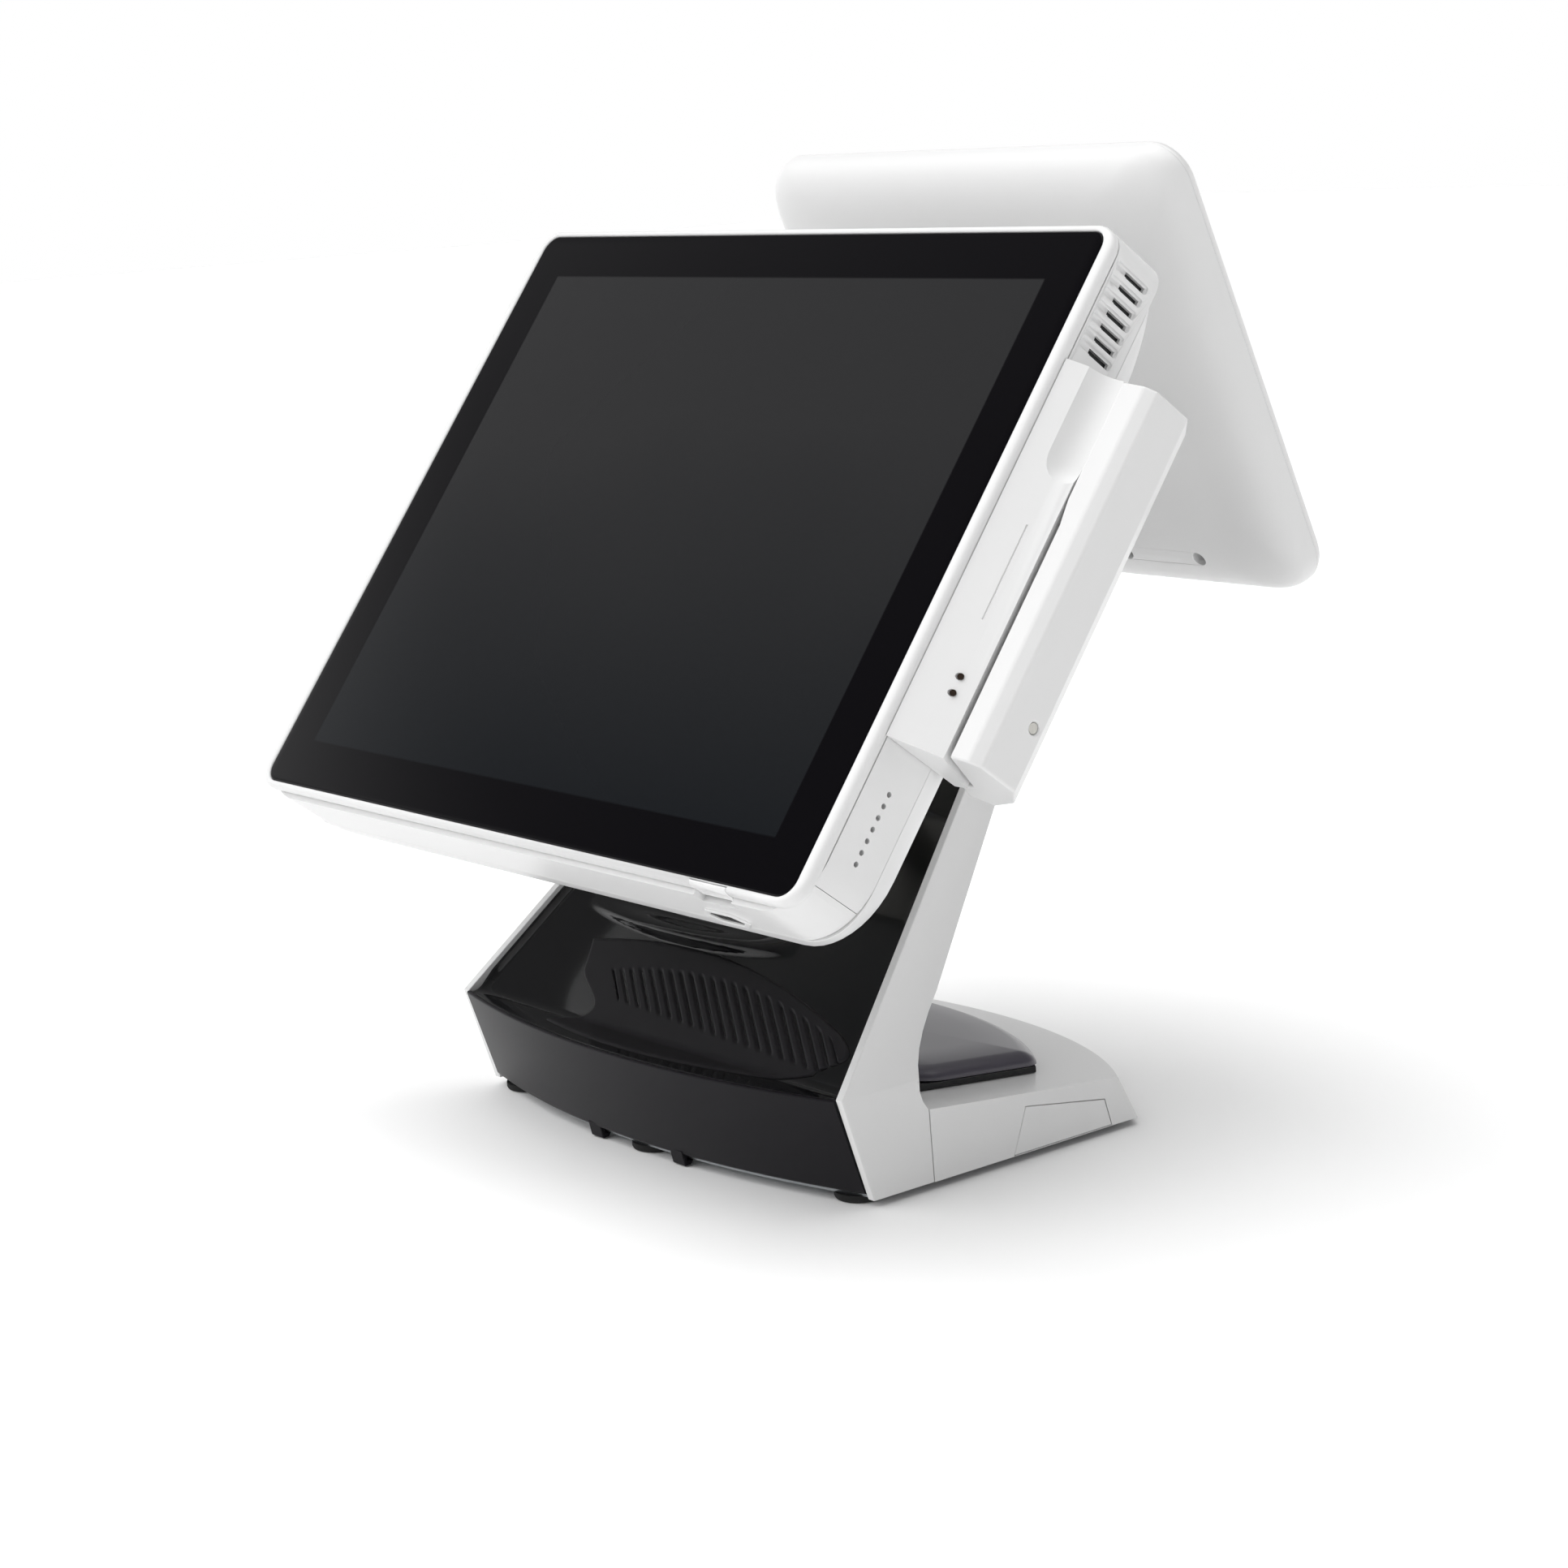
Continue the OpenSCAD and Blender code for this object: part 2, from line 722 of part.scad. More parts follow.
window_x = 119;
window_w = 20;
window_d = 7;
window_n = 23;
module window_hex(grow, t)
    translate([window_x, -shell_low, -window_n])
        rotate([-90, 0, 0])
            linear_extrude(t)
                polygon([
                    [-window_w / 2 - grow, 0], [-window_w / 2 + 4, -window_d / 2 - grow],
                    [window_w / 2 - 4, -window_d / 2 - grow], [window_w / 2 + grow, 0],
                    [window_w / 2 - 4, window_d / 2 + grow], [-window_w / 2 + 4, window_d / 2 + grow]
                ]);

module bottom_cover()
    color(white)
        in_head()
            difference() {
                intersection() {
                    shell_ring(bezel_d + 0.2, side_d);
                    translate([-bezel_w, split_v - bezel_h - 0.2, -head_d])
                        cube([2 * bezel_w, bezel_h, 2 * head_d]);
                }
                translate([0, -0.1, 0]) window_hex(0.1, head_wall + 2 * cut);
                translate([0, -cut, 0]) window_hex(0.1, head_wall + 2 * cut);
                translate([button_x - button_w / 2 - 0.3, -shell_low - cut,
                    -button_d - button_travel - 0.6])
                    cube([button_w + 0.6, 3 * head_wall, button_d + button_travel]);
            }

module window_grille()
    color([0.08, 0.08, 0.09])
        in_head()
            difference() {
                window_hex(0, 2);
                for (i = [-2:2])
                    translate([window_x + i * 2.4 - 0.5, -shell_low - cut, -window_n - 2])
                        cube([1, cut + 1, 4]);
            }

// depth, half width, lowest and highest v, corner radius of each step of the domed back
back_steps = [
    [side_d + 0.2, side_x, -shell_low, shell_high - 1, 21],
    [36, side_x - 3, -138.5, 127, 26],
    [43, side_x - 9.5, -137, 114, 30],
    [50, side_x - 20, -134, 95, 34],
    [head_d - 4, side_x - 38, -129, 66, 36],
    [head_d, side_x - 60, -121, 30, 36]
];
module back_dome(inset)
    hull()
        for (s = back_steps)
            translate([0, (s[2] + s[3]) / 2, 0])
                slab(
                    2 * (s[1] - inset), s[3] - s[2] - 2 * inset, s[4] - inset,
                    max(s[0] - inset - 0.4, side_d + 0.2), max(s[0] - inset, side_d + 0.6), $fn = 32
                );

module rear_housing()
    color(white)
        in_head() {
            difference() {
                back_dome(0);
                difference() {
                    back_dome(head_wall);
                    translate([-notch_w / 2 - head_wall, -shell_low - cut, -head_d - cut])
                        cube([notch_w + 2 * head_wall, shell_low + notch_top + head_wall + cut,
                            head_d - notch_d + head_wall + cut]);
                }
                translate([-notch_w / 2, -shell_low - cut, -head_d - cut])
                    cube([notch_w, shell_low + notch_top + cut, head_d - notch_d + cut]);
                leaf_holes(leaf_hole, notch_d - 2 * head_wall, notch_d + cut);
            }
        }

module vent_liner()
    color([0.05, 0.05, 0.05]) in_head() translate([side_x - head_wall - 1.2, 88, -24]) cube([1, 37, 13]);

module speaker()
    color([0.1, 0.1, 0.1])
        in_head() translate([side_x - head_wall - 10, -116, -22]) cube([9.5, 34, 12]);

module button_board()
    color(board_green)
        in_head()
            translate([button_x - 14, head_wall - shell_low, -button_d - 7]) cube([28, 9, 1.5]);

module power_button()
    color(white)
        in_head() {
            translate([button_x - button_w / 2, -bezel_h / 2, -button_d])
                cube([button_w, button_h, button_d]);
            translate([button_x - button_w / 2 + 3, -bezel_h / 2, -button_d]) cube([button_w - 6, 6, 2]);
        }

module head_leaf()
    color(zinc)
        in_head()
            difference() {
                union() {
                    translate([0, -hinge_drop, 0]) slab(leaf_w, leaf_h, 6, notch_d, notch_d + leaf_t);
                    for (x = [leaf_span / 2 - ear_t, -leaf_span / 2])
                        translate([x, -hinge_drop, 0]) {
                            translate([0, 0, -hinge_depth])
                                rotate([0, 90, 0]) cylinder(h = ear_t, r = ear_r);
                            translate([0, -ear_r, -hinge_depth])
                                cube([ear_t, 2 * ear_r, hinge_depth - notch_d - leaf_t / 2]);
                        }
                }
                translate([-leaf_span, -hinge_drop, -hinge_depth])
                    rotate([0, 90, 0]) cylinder(h = 2 * leaf_span, d = shaft_d);
                leaf_holes(leaf_hole, notch_d - cut, notch_d + leaf_t + cut);
            }

module leaf_screws()
    color(zinc)
        in_head() {
            leaf_holes(4, notch_d - 6, notch_d + leaf_t);
            leaf_holes(8, notch_d + leaf_t, notch_d + leaf_t + 2.6);
        }

shaft_half = bracket_x + ear_t + 4;
module hinge_shaft()
    color(steel)
        translate([-shaft_half, hinge_y, hinge_z])
            rotate([0, 90, 0]) cylinder(h = 2 * shaft_half, d = shaft_d);

// ---------- card reader ----------

module reader_span(from, to)
    translate([0, to, 0]) rotate([90, 0, 0]) linear_extrude(to - from) children();

reader_v0 = -reader_low;
reader_v1 = reader_v0 + reader_len;
cap_x = side_x + reader_out;
base_points = [[side_x + seam, -3], slot_top, slot_end, [side_x + seam, slot_end[1]]];
cap_points = [
    slot_top - slot_step, [cap_x - 4, -18.2], [cap_x, -22], [cap_x, -40], [cap_x - 10, -51],
    [side_x + 6, -57], [side_x - 2, -51], [side_x + 1.5, slot_end[1] - 1.5], slot_end - slot_step - [0, 0.5]
];

module lamp_places()
    for (k = [0, 1])
        translate([side_x + 12, -40 - k * lamp_pitch, -12.5]) rotate([0, 36, 0]) children();
module head_outline(grow)
    polygon([
        [side_x + 5 - grow, -24 + grow], [side_x + 13.6 + 4 * grow, -25 + grow],
        [side_x + 10.3 + 4 * grow, -32.4 - grow], [side_x + 4.4 - grow, -31 - grow]
    ]);
module reader_body()
    color(white)
        in_head()
            difference() {
                reader_span(reader_v0, reader_v1) polygon(base_points);
                reader_span(reader_v0 + 8, reader_v1 - 8)
                    polygon([[side_x + 3, -10], [side_x + 12, -17], [side_x + 5, -33], [side_x + 3, -36]]);
                // thumb scoop beside the slot
                translate([slot_top[0] + 5, reader_v1 + cut, -10])
                    rotate([90, 0, 0])
                        cylinder(h = 50, r = 9);
                lamp_places() translate([0, 0, -1.4]) cylinder(h = 12, d = 2.6);
                reader_span(-7, 9) head_outline(0.2);
            }

module reader_cap()
    color(white)
        in_head()
            difference() {
                reader_span(reader_v0 + 1, reader_v1 - 1) polygon(cap_points);
                reader_span(reader_v0 + 8, reader_v1 - 8)
                    polygon([[cap_x - 8, -24], [cap_x - 3, -26], [cap_x - 3, -38], [cap_x - 11, -46],
                        [cap_x - 16, -44]]);
                translate([cap_x - 2, -45, -36]) rotate([0, 90, 0]) cylinder(h = 4, d = 4.4);
            }

module read_head()
    color([0.6, 0.6, 0.62])
        in_head() reader_span(-6, 8) head_outline(0);

module reader_board()
    color(board_green)
        in_head() reader_span(-50, 40)
            polygon([[cap_x - 4.5, -27], [cap_x - 3, -27], [cap_x - 3, -37], [cap_x - 4.5, -37]]);

module reader_lamps()
    color([0.1, 0.6, 0.25]) in_head() lamp_places() translate([0, 0, -1.4]) cylinder(h = 2.8, d = 2.4);

module reader_screw()
    color(zinc)
        in_head() translate([cap_x - 2, -45, -36]) rotate([0, 90, 0]) cylinder(h = 1.2, d = 4);

// ---------- customer display ----------

core_low = [neck_y(neck_top - 26) + neck_set, neck_top - 26];
core_set = core_t / cos(arm_lean);
core_turn = [neck_y(neck_top + 8) + neck_set + (core_set + seam) / 2, neck_top + 8];
core_end = [rear_axis_y, rear_axis_z];
core_dir = (core_end - core_turn) / norm(core_end - core_turn);
core_up = core_t / 2 * [-core_dir[1], core_dir[0]];
module rear_arm_core()
    color(steel)
        difference() {
            union() {
                across(core_w)
                    polygon([
                        core_low, core_turn + core_up, core_end + core_up, core_end - core_up,
                        core_turn - core_up + core_set * core_dir, core_low + [core_set, 0]
                    ]);
                translate([-core_w / 2, rear_axis_y, rear_axis_z])
                    rotate([0, 90, 0]) cylinder(h = core_w, r = rear_ear_r);
            }
            translate([-core_w, rear_axis_y, rear_axis_z])
                rotate([0, 90, 0]) cylinder(h = 2 * core_w, d = rear_shaft_d + 2 * shaft_fit);
        }

// plastic sleeve over the sloping part of the arm core
sleeve_start = core_turn + 0.10 * (core_end - core_turn);
sleeve_end = core_turn + 0.84 * (core_end - core_turn);
sleeve_wall = 2;
module sleeve_outline(grow, run) {
    up = (1 + grow / (core_t / 2)) * core_up;
    far = run * core_dir;
    polygon([sleeve_start - up - far, sleeve_end - up + far, sleeve_end + up + far,
        sleeve_start + up - far]);
}
module rear_arm_cover()
    color(white)
        difference() {
            across(core_w + 2 * (seam + sleeve_wall)) sleeve_outline(seam + sleeve_wall, 0);
            across(core_w + 2 * seam) sleeve_outline(seam, cut);
        }

// leaf with two ears outside the arm core, on the back cover
module rear_leaf()
    color(zinc)
        in_rear()
            difference() {
                union() {
                    translate([0, rear_axis_v, 0]) slab(90, 56, 5, rear_back_d, rear_back_d + rear_leaf_t);
                    for (x = [rear_ear_gap / 2 - 1, -rear_ear_gap / 2 + 1 - rear_ear_t])
                        translate([x, rear_axis_v, 0]) {
                            translate([0, 0, rear_axis_n])
                                rotate([0, 90, 0]) cylinder(h = rear_ear_t, r = rear_ear_r);
                            translate([0, -rear_ear_r, rear_axis_n])
                                cube([rear_ear_t, 2 * rear_ear_r,
                                    -rear_axis_n - rear_back_d - rear_leaf_t / 2]);
                        }
                }
                translate([-base_w, rear_axis_v, rear_axis_n])
                    rotate([0, 90, 0]) cylinder(h = 2 * base_w, d = rear_shaft_d);
            }

rear_shaft_half = rear_ear_gap / 2 + rear_ear_t + 2;
module rear_hinge_shaft()
    color(steel)
        translate([-rear_shaft_half, rear_axis_y, rear_axis_z])
            rotate([0, 90, 0]) cylinder(h = 2 * rear_shaft_half, d = rear_shaft_d);

// depth, narrowing and corner radius of each step of the domed back
rear_steps = [[0, 0, 17], [7, 1, 18], [12, 4, 18], [16.5, 10, 20], [19, 18, 22], [rear_back_d, 32, 22]];
module rear_dome(inset)
    hull()
        for (s = rear_steps)
            slab(
                rear_w - 2 * s[1] - 2 * inset, rear_h - 2 * s[1] - 2 * inset, s[2] - inset,
                max(s[0] - inset - 0.4, 0), max(s[0] - inset, 0.4), $fn = 32
            );

module rear_back_cover()
    color(white)
        in_rear()
            difference() {
                rear_dome(0);
                difference() {
                    rear_dome(cover_wall);
                    for (x = rear_screw_x, s = [-1, 1])
                        translate([s * x, rear_screw_v, -rear_back_d - cut])
                            cylinder(h = rear_back_d - 3, d = 9);
                }
                translate([0, 0, -0.5])
                    linear_extrude(1) round_rect(rear_w - 5, rear_h - 5, rear_r - cover_wall);
                for (x = rear_screw_x, s = [-1, 1])
                    translate([s * x, rear_screw_v, -rear_back_d - cut])
                        cylinder(h = rear_back_d + cut - 10, d = 6.4);
            }

module rear_back_screws()
    color(zinc)
        in_rear()
            for (x = rear_screw_x, s = [-1, 1])
                translate([s * x, rear_screw_v, -12.2]) cylinder(h = 2.2, d = 5.6);

module rear_bezel()
    color(white)
        in_rear()
            difference() {
                slab(rear_w, rear_h, rear_r, -rear_front_d, 0);
                slab(rear_w - 12, rear_h - 12, 12, -rear_front_d - cut, -rear_front_d + 2);
                slab(rear_w - 8, rear_h - 16, 8, -rear_front_d - cut, cut);
            }

module rear_glass()
    color([0.02, 0.02, 0.025]) in_rear() slab(rear_w - 12.4, rear_h - 12.4, 11.8, -rear_front_d,
        -rear_front_d + 2 - 0.01);

module rear_lcd_module()
    color([0.2, 0.21, 0.22]) in_rear() slab(228, 160, 2, -rear_front_d + 2.1, 3);

module rear_display_board()
    color(board_green)
        in_rear() {
            slab(130, 70, 2, 3, 4.6);
            translate([-20, -10, -8]) cube([40, 20, 3.5]);
        }

base_plate();
rubber_feet();
base_screws();
front_tabs();
front_band();
side_panel_left();
side_panel_right();
tray_cover();
tray_inset();
neck_rear_cover();
neck_frame();
hinge_bracket_left();
hinge_bracket_right();
friction_washers();
rear_deck();
io_panel();
jack_sockets();
serial_sockets();
power_inlet();
io_board();
cable_cover();
cable_cover_skirt();
cable_door_left();
cable_door_right();
bezel_frame();
touch_glass();
lcd_module();
chassis_plate();
mainboard();
heat_sink();
solid_state_drive();
side_frame();
bottom_cover();
rear_housing();
vent_liner();
speaker();
window_grille();
button_board();
power_button();
head_leaf();
leaf_screws();
hinge_shaft();
reader_body();
reader_cap();
read_head();
reader_board();
reader_lamps();
reader_screw();
rear_arm_core();
rear_arm_cover();
rear_leaf();
rear_hinge_shaft();
rear_back_cover();
rear_back_screws();
rear_bezel();
rear_glass();
rear_lcd_module();
rear_display_board();
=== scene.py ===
import json
import math

import bmesh
import bpy
import numpy as np
from mathutils import Matrix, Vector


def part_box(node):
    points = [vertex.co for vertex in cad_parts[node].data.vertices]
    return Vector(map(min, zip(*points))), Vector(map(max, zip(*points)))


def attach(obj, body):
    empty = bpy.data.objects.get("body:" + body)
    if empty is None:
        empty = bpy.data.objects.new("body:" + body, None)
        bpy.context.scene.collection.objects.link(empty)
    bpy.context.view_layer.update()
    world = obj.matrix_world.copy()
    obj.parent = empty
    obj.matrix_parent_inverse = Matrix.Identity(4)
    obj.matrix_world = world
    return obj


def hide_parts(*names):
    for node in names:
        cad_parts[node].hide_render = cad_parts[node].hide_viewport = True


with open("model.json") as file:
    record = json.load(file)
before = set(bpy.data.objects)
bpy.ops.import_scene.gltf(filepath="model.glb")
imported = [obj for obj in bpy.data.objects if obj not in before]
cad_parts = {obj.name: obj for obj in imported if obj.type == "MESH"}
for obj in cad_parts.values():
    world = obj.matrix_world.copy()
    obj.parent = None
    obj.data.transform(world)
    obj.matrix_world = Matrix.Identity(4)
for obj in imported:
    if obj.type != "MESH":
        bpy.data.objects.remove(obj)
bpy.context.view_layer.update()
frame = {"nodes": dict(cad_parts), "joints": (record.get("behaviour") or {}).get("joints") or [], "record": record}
joints = {joint["name"]: joint for joint in frame["joints"]}

# ---------------------------------------------------------------------------
# Studio: a pale floor, a bright horizon and three soft lamps round the terminal.
# The camera stands to the user's right, a little above the counter, and looks down at it.


def towards(azimuth, elevation):
    """Unit vector from the object to a viewer: azimuth turns from -Y to +X, elevation rises from the floor."""
    a, e = math.radians(azimuth), math.radians(elevation)
    return np.array([math.sin(a) * math.cos(e), -math.cos(a) * math.cos(e), math.sin(e)])


def frame_from(back, roll=0.0):
    """Columns right, up and back of something that looks along -back, turned by roll degrees about it."""
    side = np.cross([0, 0, 1.0], back)
    side /= np.linalg.norm(side)
    up = np.cross(back, side)
    c, s = math.cos(math.radians(roll)), math.sin(math.radians(roll))
    return np.stack([side * c + up * s, up * c - side * s, back], 1)


def stand_at(thing, place, axes):
    """Puts a camera or lamp at a place, in metres, with the given axes."""
    matrix = np.eye(4)
    matrix[:3, :3], matrix[:3, 3] = axes, place
    thing.matrix_world = Matrix(matrix.tolist())
    bpy.context.scene.collection.objects.link(thing)


eye = bpy.data.objects.new("eye", bpy.data.cameras.new("eye"))
eye.data.lens = 76.78
eye.data.shift_x, eye.data.shift_y = -0.001, -0.0735
stand_at(eye, [1.0366, -0.7508, 0.4006], frame_from(towards(51.35, 9.41), -3.14))
bpy.context.scene.camera = eye
bpy.context.scene.view_settings.view_transform = "Standard"


def linear(colour):
    """sRGB hex colour as linear red, green, blue and alpha."""
    value = np.array([int(colour[k:k + 2], 16) for k in (1, 3, 5)]) / 255
    value = np.where(value <= 0.04045, value / 12.92, ((value + 0.055) / 1.055) ** 2.4)
    return (*value.tolist(), 1.0)


def add_node(tree, kind, joined=None, **settings):
    """One shader node. joined maps its sockets to (node, output); settings go to the node or, as _name, to sockets."""
    made = tree.nodes.new(kind)
    for name, value in settings.items():
        if name.startswith("_"):
            key = int(name[1:]) if name[1:].isdigit() else name[1:].replace("_", " ")
            made.inputs[key].default_value = value
        else:
            setattr(made, name, value)
    for socket, (source, output) in (joined or {}).items():
        tree.links.new(source.outputs[output], made.inputs[socket])
    return made


sky = bpy.data.worlds.new("studio")
bpy.context.scene.world = sky
sky.use_nodes = True
sky.node_tree.nodes.clear()
ray = add_node(sky.node_tree, "ShaderNodeTexCoord")
height = add_node(sky.node_tree, "ShaderNodeSeparateXYZ", {0: (ray, "Generated")})
fade = add_node(sky.node_tree, "ShaderNodeMapRange", {0: (height, "Z")}, _1=0.12, _2=0.42, _3=1.0, _4=0.18)
fade.interpolation_type = "SMOOTHSTEP"
glow = add_node(sky.node_tree, "ShaderNodeBackground", {"Strength": (fade, 0)}, _Color=linear("#FFFFFF"))
add_node(sky.node_tree, "ShaderNodeOutputWorld", {"Surface": (glow, 0)})


def soft_lamp(name, azimuth, elevation, distance, size, power, mirrored):
    """A square soft box at a distance from the terminal's middle, facing it."""
    lamp = bpy.data.objects.new(name, bpy.data.lights.new(name, "AREA"))
    lamp.data.shape, lamp.data.size, lamp.data.energy = "SQUARE", size, power
    lamp.visible_glossy = mirrored
    back = towards(azimuth, elevation)
    stand_at(lamp, np.array([0, 0.1, 0.2]) + distance * back, frame_from(back))


soft_lamp("top_lamp", 150, 74, 1.9, 1.6, 12, True)
sun = bpy.data.objects.new("key_lamp", bpy.data.lights.new("key_lamp", "SUN"))
sun.data.energy, sun.data.angle = 3.0, math.radians(85)
sun.visible_glossy = False
stand_at(sun, [-1.2, -1.4, 1.9], frame_from(towards(-40, 60)))


def grid_faces(rows, columns, closed_rows=False, closed_columns=True):
    """Quads of a grid of points, row by row; closed directions join their last line to the first."""
    i = np.arange(rows if closed_rows else rows - 1)[:, None]
    j = np.arange(columns if closed_columns else columns - 1)[None, :]
    a, b = i * columns + j, i * columns + (j + 1) % columns
    c, d = ((i + 1) % rows) * columns + (j + 1) % columns, ((i + 1) % rows) * columns + j
    return np.stack([a, b, c, d], -1).reshape(-1, 4)


def new_mesh(name, points, faces, material, sharp=32.0, outward=None):
    """Mesh object in metres from points and faces. Smooth, with edges sharper than the given angle left hard.
    An open sheet names the direction its faces look in."""
    mesh = bpy.data.meshes.new(name)
    mesh.from_pydata(np.asarray(points, float).reshape(-1, 3).tolist(), [], [list(map(int, f)) for f in faces])
    shape = bmesh.new()
    shape.from_mesh(mesh)
    bmesh.ops.remove_doubles(shape, verts=shape.verts, dist=1e-7)
    bmesh.ops.recalc_face_normals(shape, faces=shape.faces)
    if outward and sum(face.normal.dot(outward) for face in shape.faces) < 0:
        bmesh.ops.reverse_faces(shape, faces=shape.faces)
    shape.to_mesh(mesh)
    shape.free()
    mesh.shade_smooth()
    mesh.set_sharp_from_angle(angle=math.radians(sharp))
    mesh.materials.append(material)
    made = bpy.data.objects.new(name, mesh)
    bpy.context.scene.collection.objects.link(made)
    return made


def plastic(name, colour, deep, rough, grain_mm, relief, coat=0.0, shine=0.5):
    """Moulded plastic: a fine moulded grain as bump, a slow drift of colour, and roughness that varies a little."""
    made = bpy.data.materials.new(name)
    made.use_nodes = True
    tree = made.node_tree
    shader = tree.nodes["Principled BSDF"]
    where = add_node(tree, "ShaderNodeTexCoord")
    grain = add_node(tree, "ShaderNodeTexNoise", {"Vector": (where, "Object")}, _Scale=1000 / grain_mm, _Detail=3.0)
    drift = add_node(tree, "ShaderNodeTexNoise", {"Vector": (where, "Object")}, _Scale=9.0, _Detail=2.0)
    tint = add_node(tree, "ShaderNodeMix", {"Factor": (drift, "Fac")}, data_type="RGBA")
    tint.inputs[6].default_value, tint.inputs[7].default_value = linear(colour), linear(deep)
    gloss = add_node(tree, "ShaderNodeMapRange", {0: (drift, "Fac")}, _3=rough * 0.88, _4=rough * 1.12)
    bump = add_node(tree, "ShaderNodeBump", {"Height": (grain, "Fac")}, _Strength=relief, _Distance=0.0002)
    tree.links.new(tint.outputs[2], shader.inputs["Base Color"])
    tree.links.new(gloss.outputs[0], shader.inputs["Roughness"])
    tree.links.new(bump.outputs[0], shader.inputs["Normal"])
    shader.inputs["IOR"].default_value = 1.52
    shader.inputs["Specular IOR Level"].default_value = shine
    shader.inputs["Coat Weight"].default_value = coat
    return made


reach = 9.0
floor_paint = plastic("matt_studio_floor", "#FFFFFF", "#FCFCFC", 0.9, 4.0, 0.02)
span = np.linspace(-reach, reach, 9)
floor_x, floor_y = np.meshgrid(span, span)
floor = new_mesh("floor", np.stack([floor_x, floor_y, 0 * floor_x], -1), grid_faces(9, 9, False, False), floor_paint)

# ---------------------------------------------------------------------------
# Plastics of the case: white ABS with a fine satin grain, polished black ABS, and satin black and grey ABS.

white_abs = plastic("white_moulded_abs", "#E2E2E2", "#DEDEDE", 0.34, 0.7, 0.10)
gloss_black = plastic("polished_black_abs", "#0B0B0D", "#08080A", 0.09, 5.0, 0.02, 0.1, 0.3)
satin_black = plastic("satin_black_abs", "#100E13", "#0D0B10", 0.4, 0.6, 0.2, 0.0, 0.16)
inset_black = plastic("grained_black_abs", "#151317", "#121114", 0.5, 0.5, 0.3, 0.0, 0.25)
grey_abs = plastic("satin_grey_abs", "#4A4750", "#45424B", 0.3, 0.6, 0.06, 0.0, 0.4)
rubber = plastic("matt_rubber", "#151515", "#111111", 0.8, 0.9, 0.5)
dark_plastic = plastic("dark_moulded_plastic", "#121214", "#0E0E10", 0.55, 0.8, 0.2)


def softened(node, width, material, sharp=32.0, segments=3):
    """The CAD piece's own shape with its edges rounded by width, in millimetres, as moulded or pressed edges are."""
    source = frame["nodes"][node].data
    shape = bmesh.new()
    shape.from_mesh(source)
    bmesh.ops.remove_doubles(shape, verts=shape.verts, dist=2e-6)
    bmesh.ops.dissolve_limit(shape, angle_limit=math.radians(0.4), verts=shape.verts, edges=shape.edges)
    mesh = bpy.data.meshes.new(node + "_shape")
    shape.to_mesh(mesh)
    shape.free()
    mesh.shade_smooth()
    mesh.set_sharp_from_angle(angle=math.radians(sharp))
    mesh.materials.clear()
    mesh.materials.append(material)
    made = bpy.data.objects.new(node + "_shape", mesh)
    bpy.context.scene.collection.objects.link(made)
    rounded_edges(made, width, segments, sharp)
    return made


def rounded_edges(piece, width, segments=3, angle=32.0):
    """Bevel modifier that rounds every edge sharper than the angle, with the radius in millimetres."""
    bevel = piece.modifiers.new("rounded_edges", "BEVEL")
    bevel.width, bevel.segments = width / 1000, segments
    bevel.limit_method, bevel.angle_limit = "ANGLE", math.radians(angle)
    bevel.harden_normals = True
    return piece


def carve(piece, cutter, operation="DIFFERENCE"):
    """Cuts the cutter's shape out of the piece at once, and removes the cutter."""
    change = piece.modifiers.new("carve", "BOOLEAN")
    change.object, change.operation, change.solver = cutter, operation, "EXACT"
    graph = bpy.context.evaluated_depsgraph_get()
    mesh = bpy.data.meshes.new_from_object(piece.evaluated_get(graph))
    piece.modifiers.clear()
    piece.data = mesh
    bpy.data.objects.remove(cutter)
    return piece


def finish(piece, body, slot, *nodes):
    """Rides the piece on its body and hides the CAD nodes it stands for; slot is not used."""
    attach(piece, body)
    if nodes:
        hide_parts(*nodes)
    return piece


# ---------------------------------------------------------------------------
# Side panels, rear neck cover, rear deck and the two cable doors: white ABS shells, clipped together.

for node, width in (("side_panel_right", 1.5), ("side_panel_left", 1.5), ("neck_rear_cover", 0.5), ("rear_deck", 0.8)):
    finish(softened(node, width, white_abs), "stand", "white_abs", node)
for side in ("left", "right"):
    finish(softened("cable_door_" + side, 0.4, white_abs), "door_" + side, "white_abs", "cable_door_" + side)

# ---------------------------------------------------------------------------
# Front band: a satin black ABS strip bent round the base's front, with a rounded top edge.
# Its outer face is part of a cone, wider at the top, and its ends meet the side panels.


def rounded(width, height, radius, steps=8):
    """Outline of a rounded rectangle, counter-clockwise: four quarter circles about the corners' centres."""
    turn = np.linspace(0, np.pi / 2, steps + 1)
    angle = np.concatenate([turn + k * np.pi / 2 for k in range(4)])
    corner = np.repeat([[1, 1], [-1, 1], [-1, -1], [1, -1]], steps + 1, axis=0) * [width / 2 - radius, height / 2 - radius]
    return corner + radius * np.stack([np.cos(angle), np.sin(angle)], 1)


def skin(name, rings, material, loop=False, sharp=32.0):
    """Closed skin over a stack of rings, given as rings by points by xyz in metres: quads between neighbours, and either
    flat ends or, as a loop, the last ring joined to the first."""
    count, around = rings.shape[:2]
    faces = grid_faces(count, around, loop).tolist()
    if not loop:
        faces += [list(range(around)), list(range((count - 1) * around, count * around))]
    return new_mesh(name, rings, faces, material, sharp)


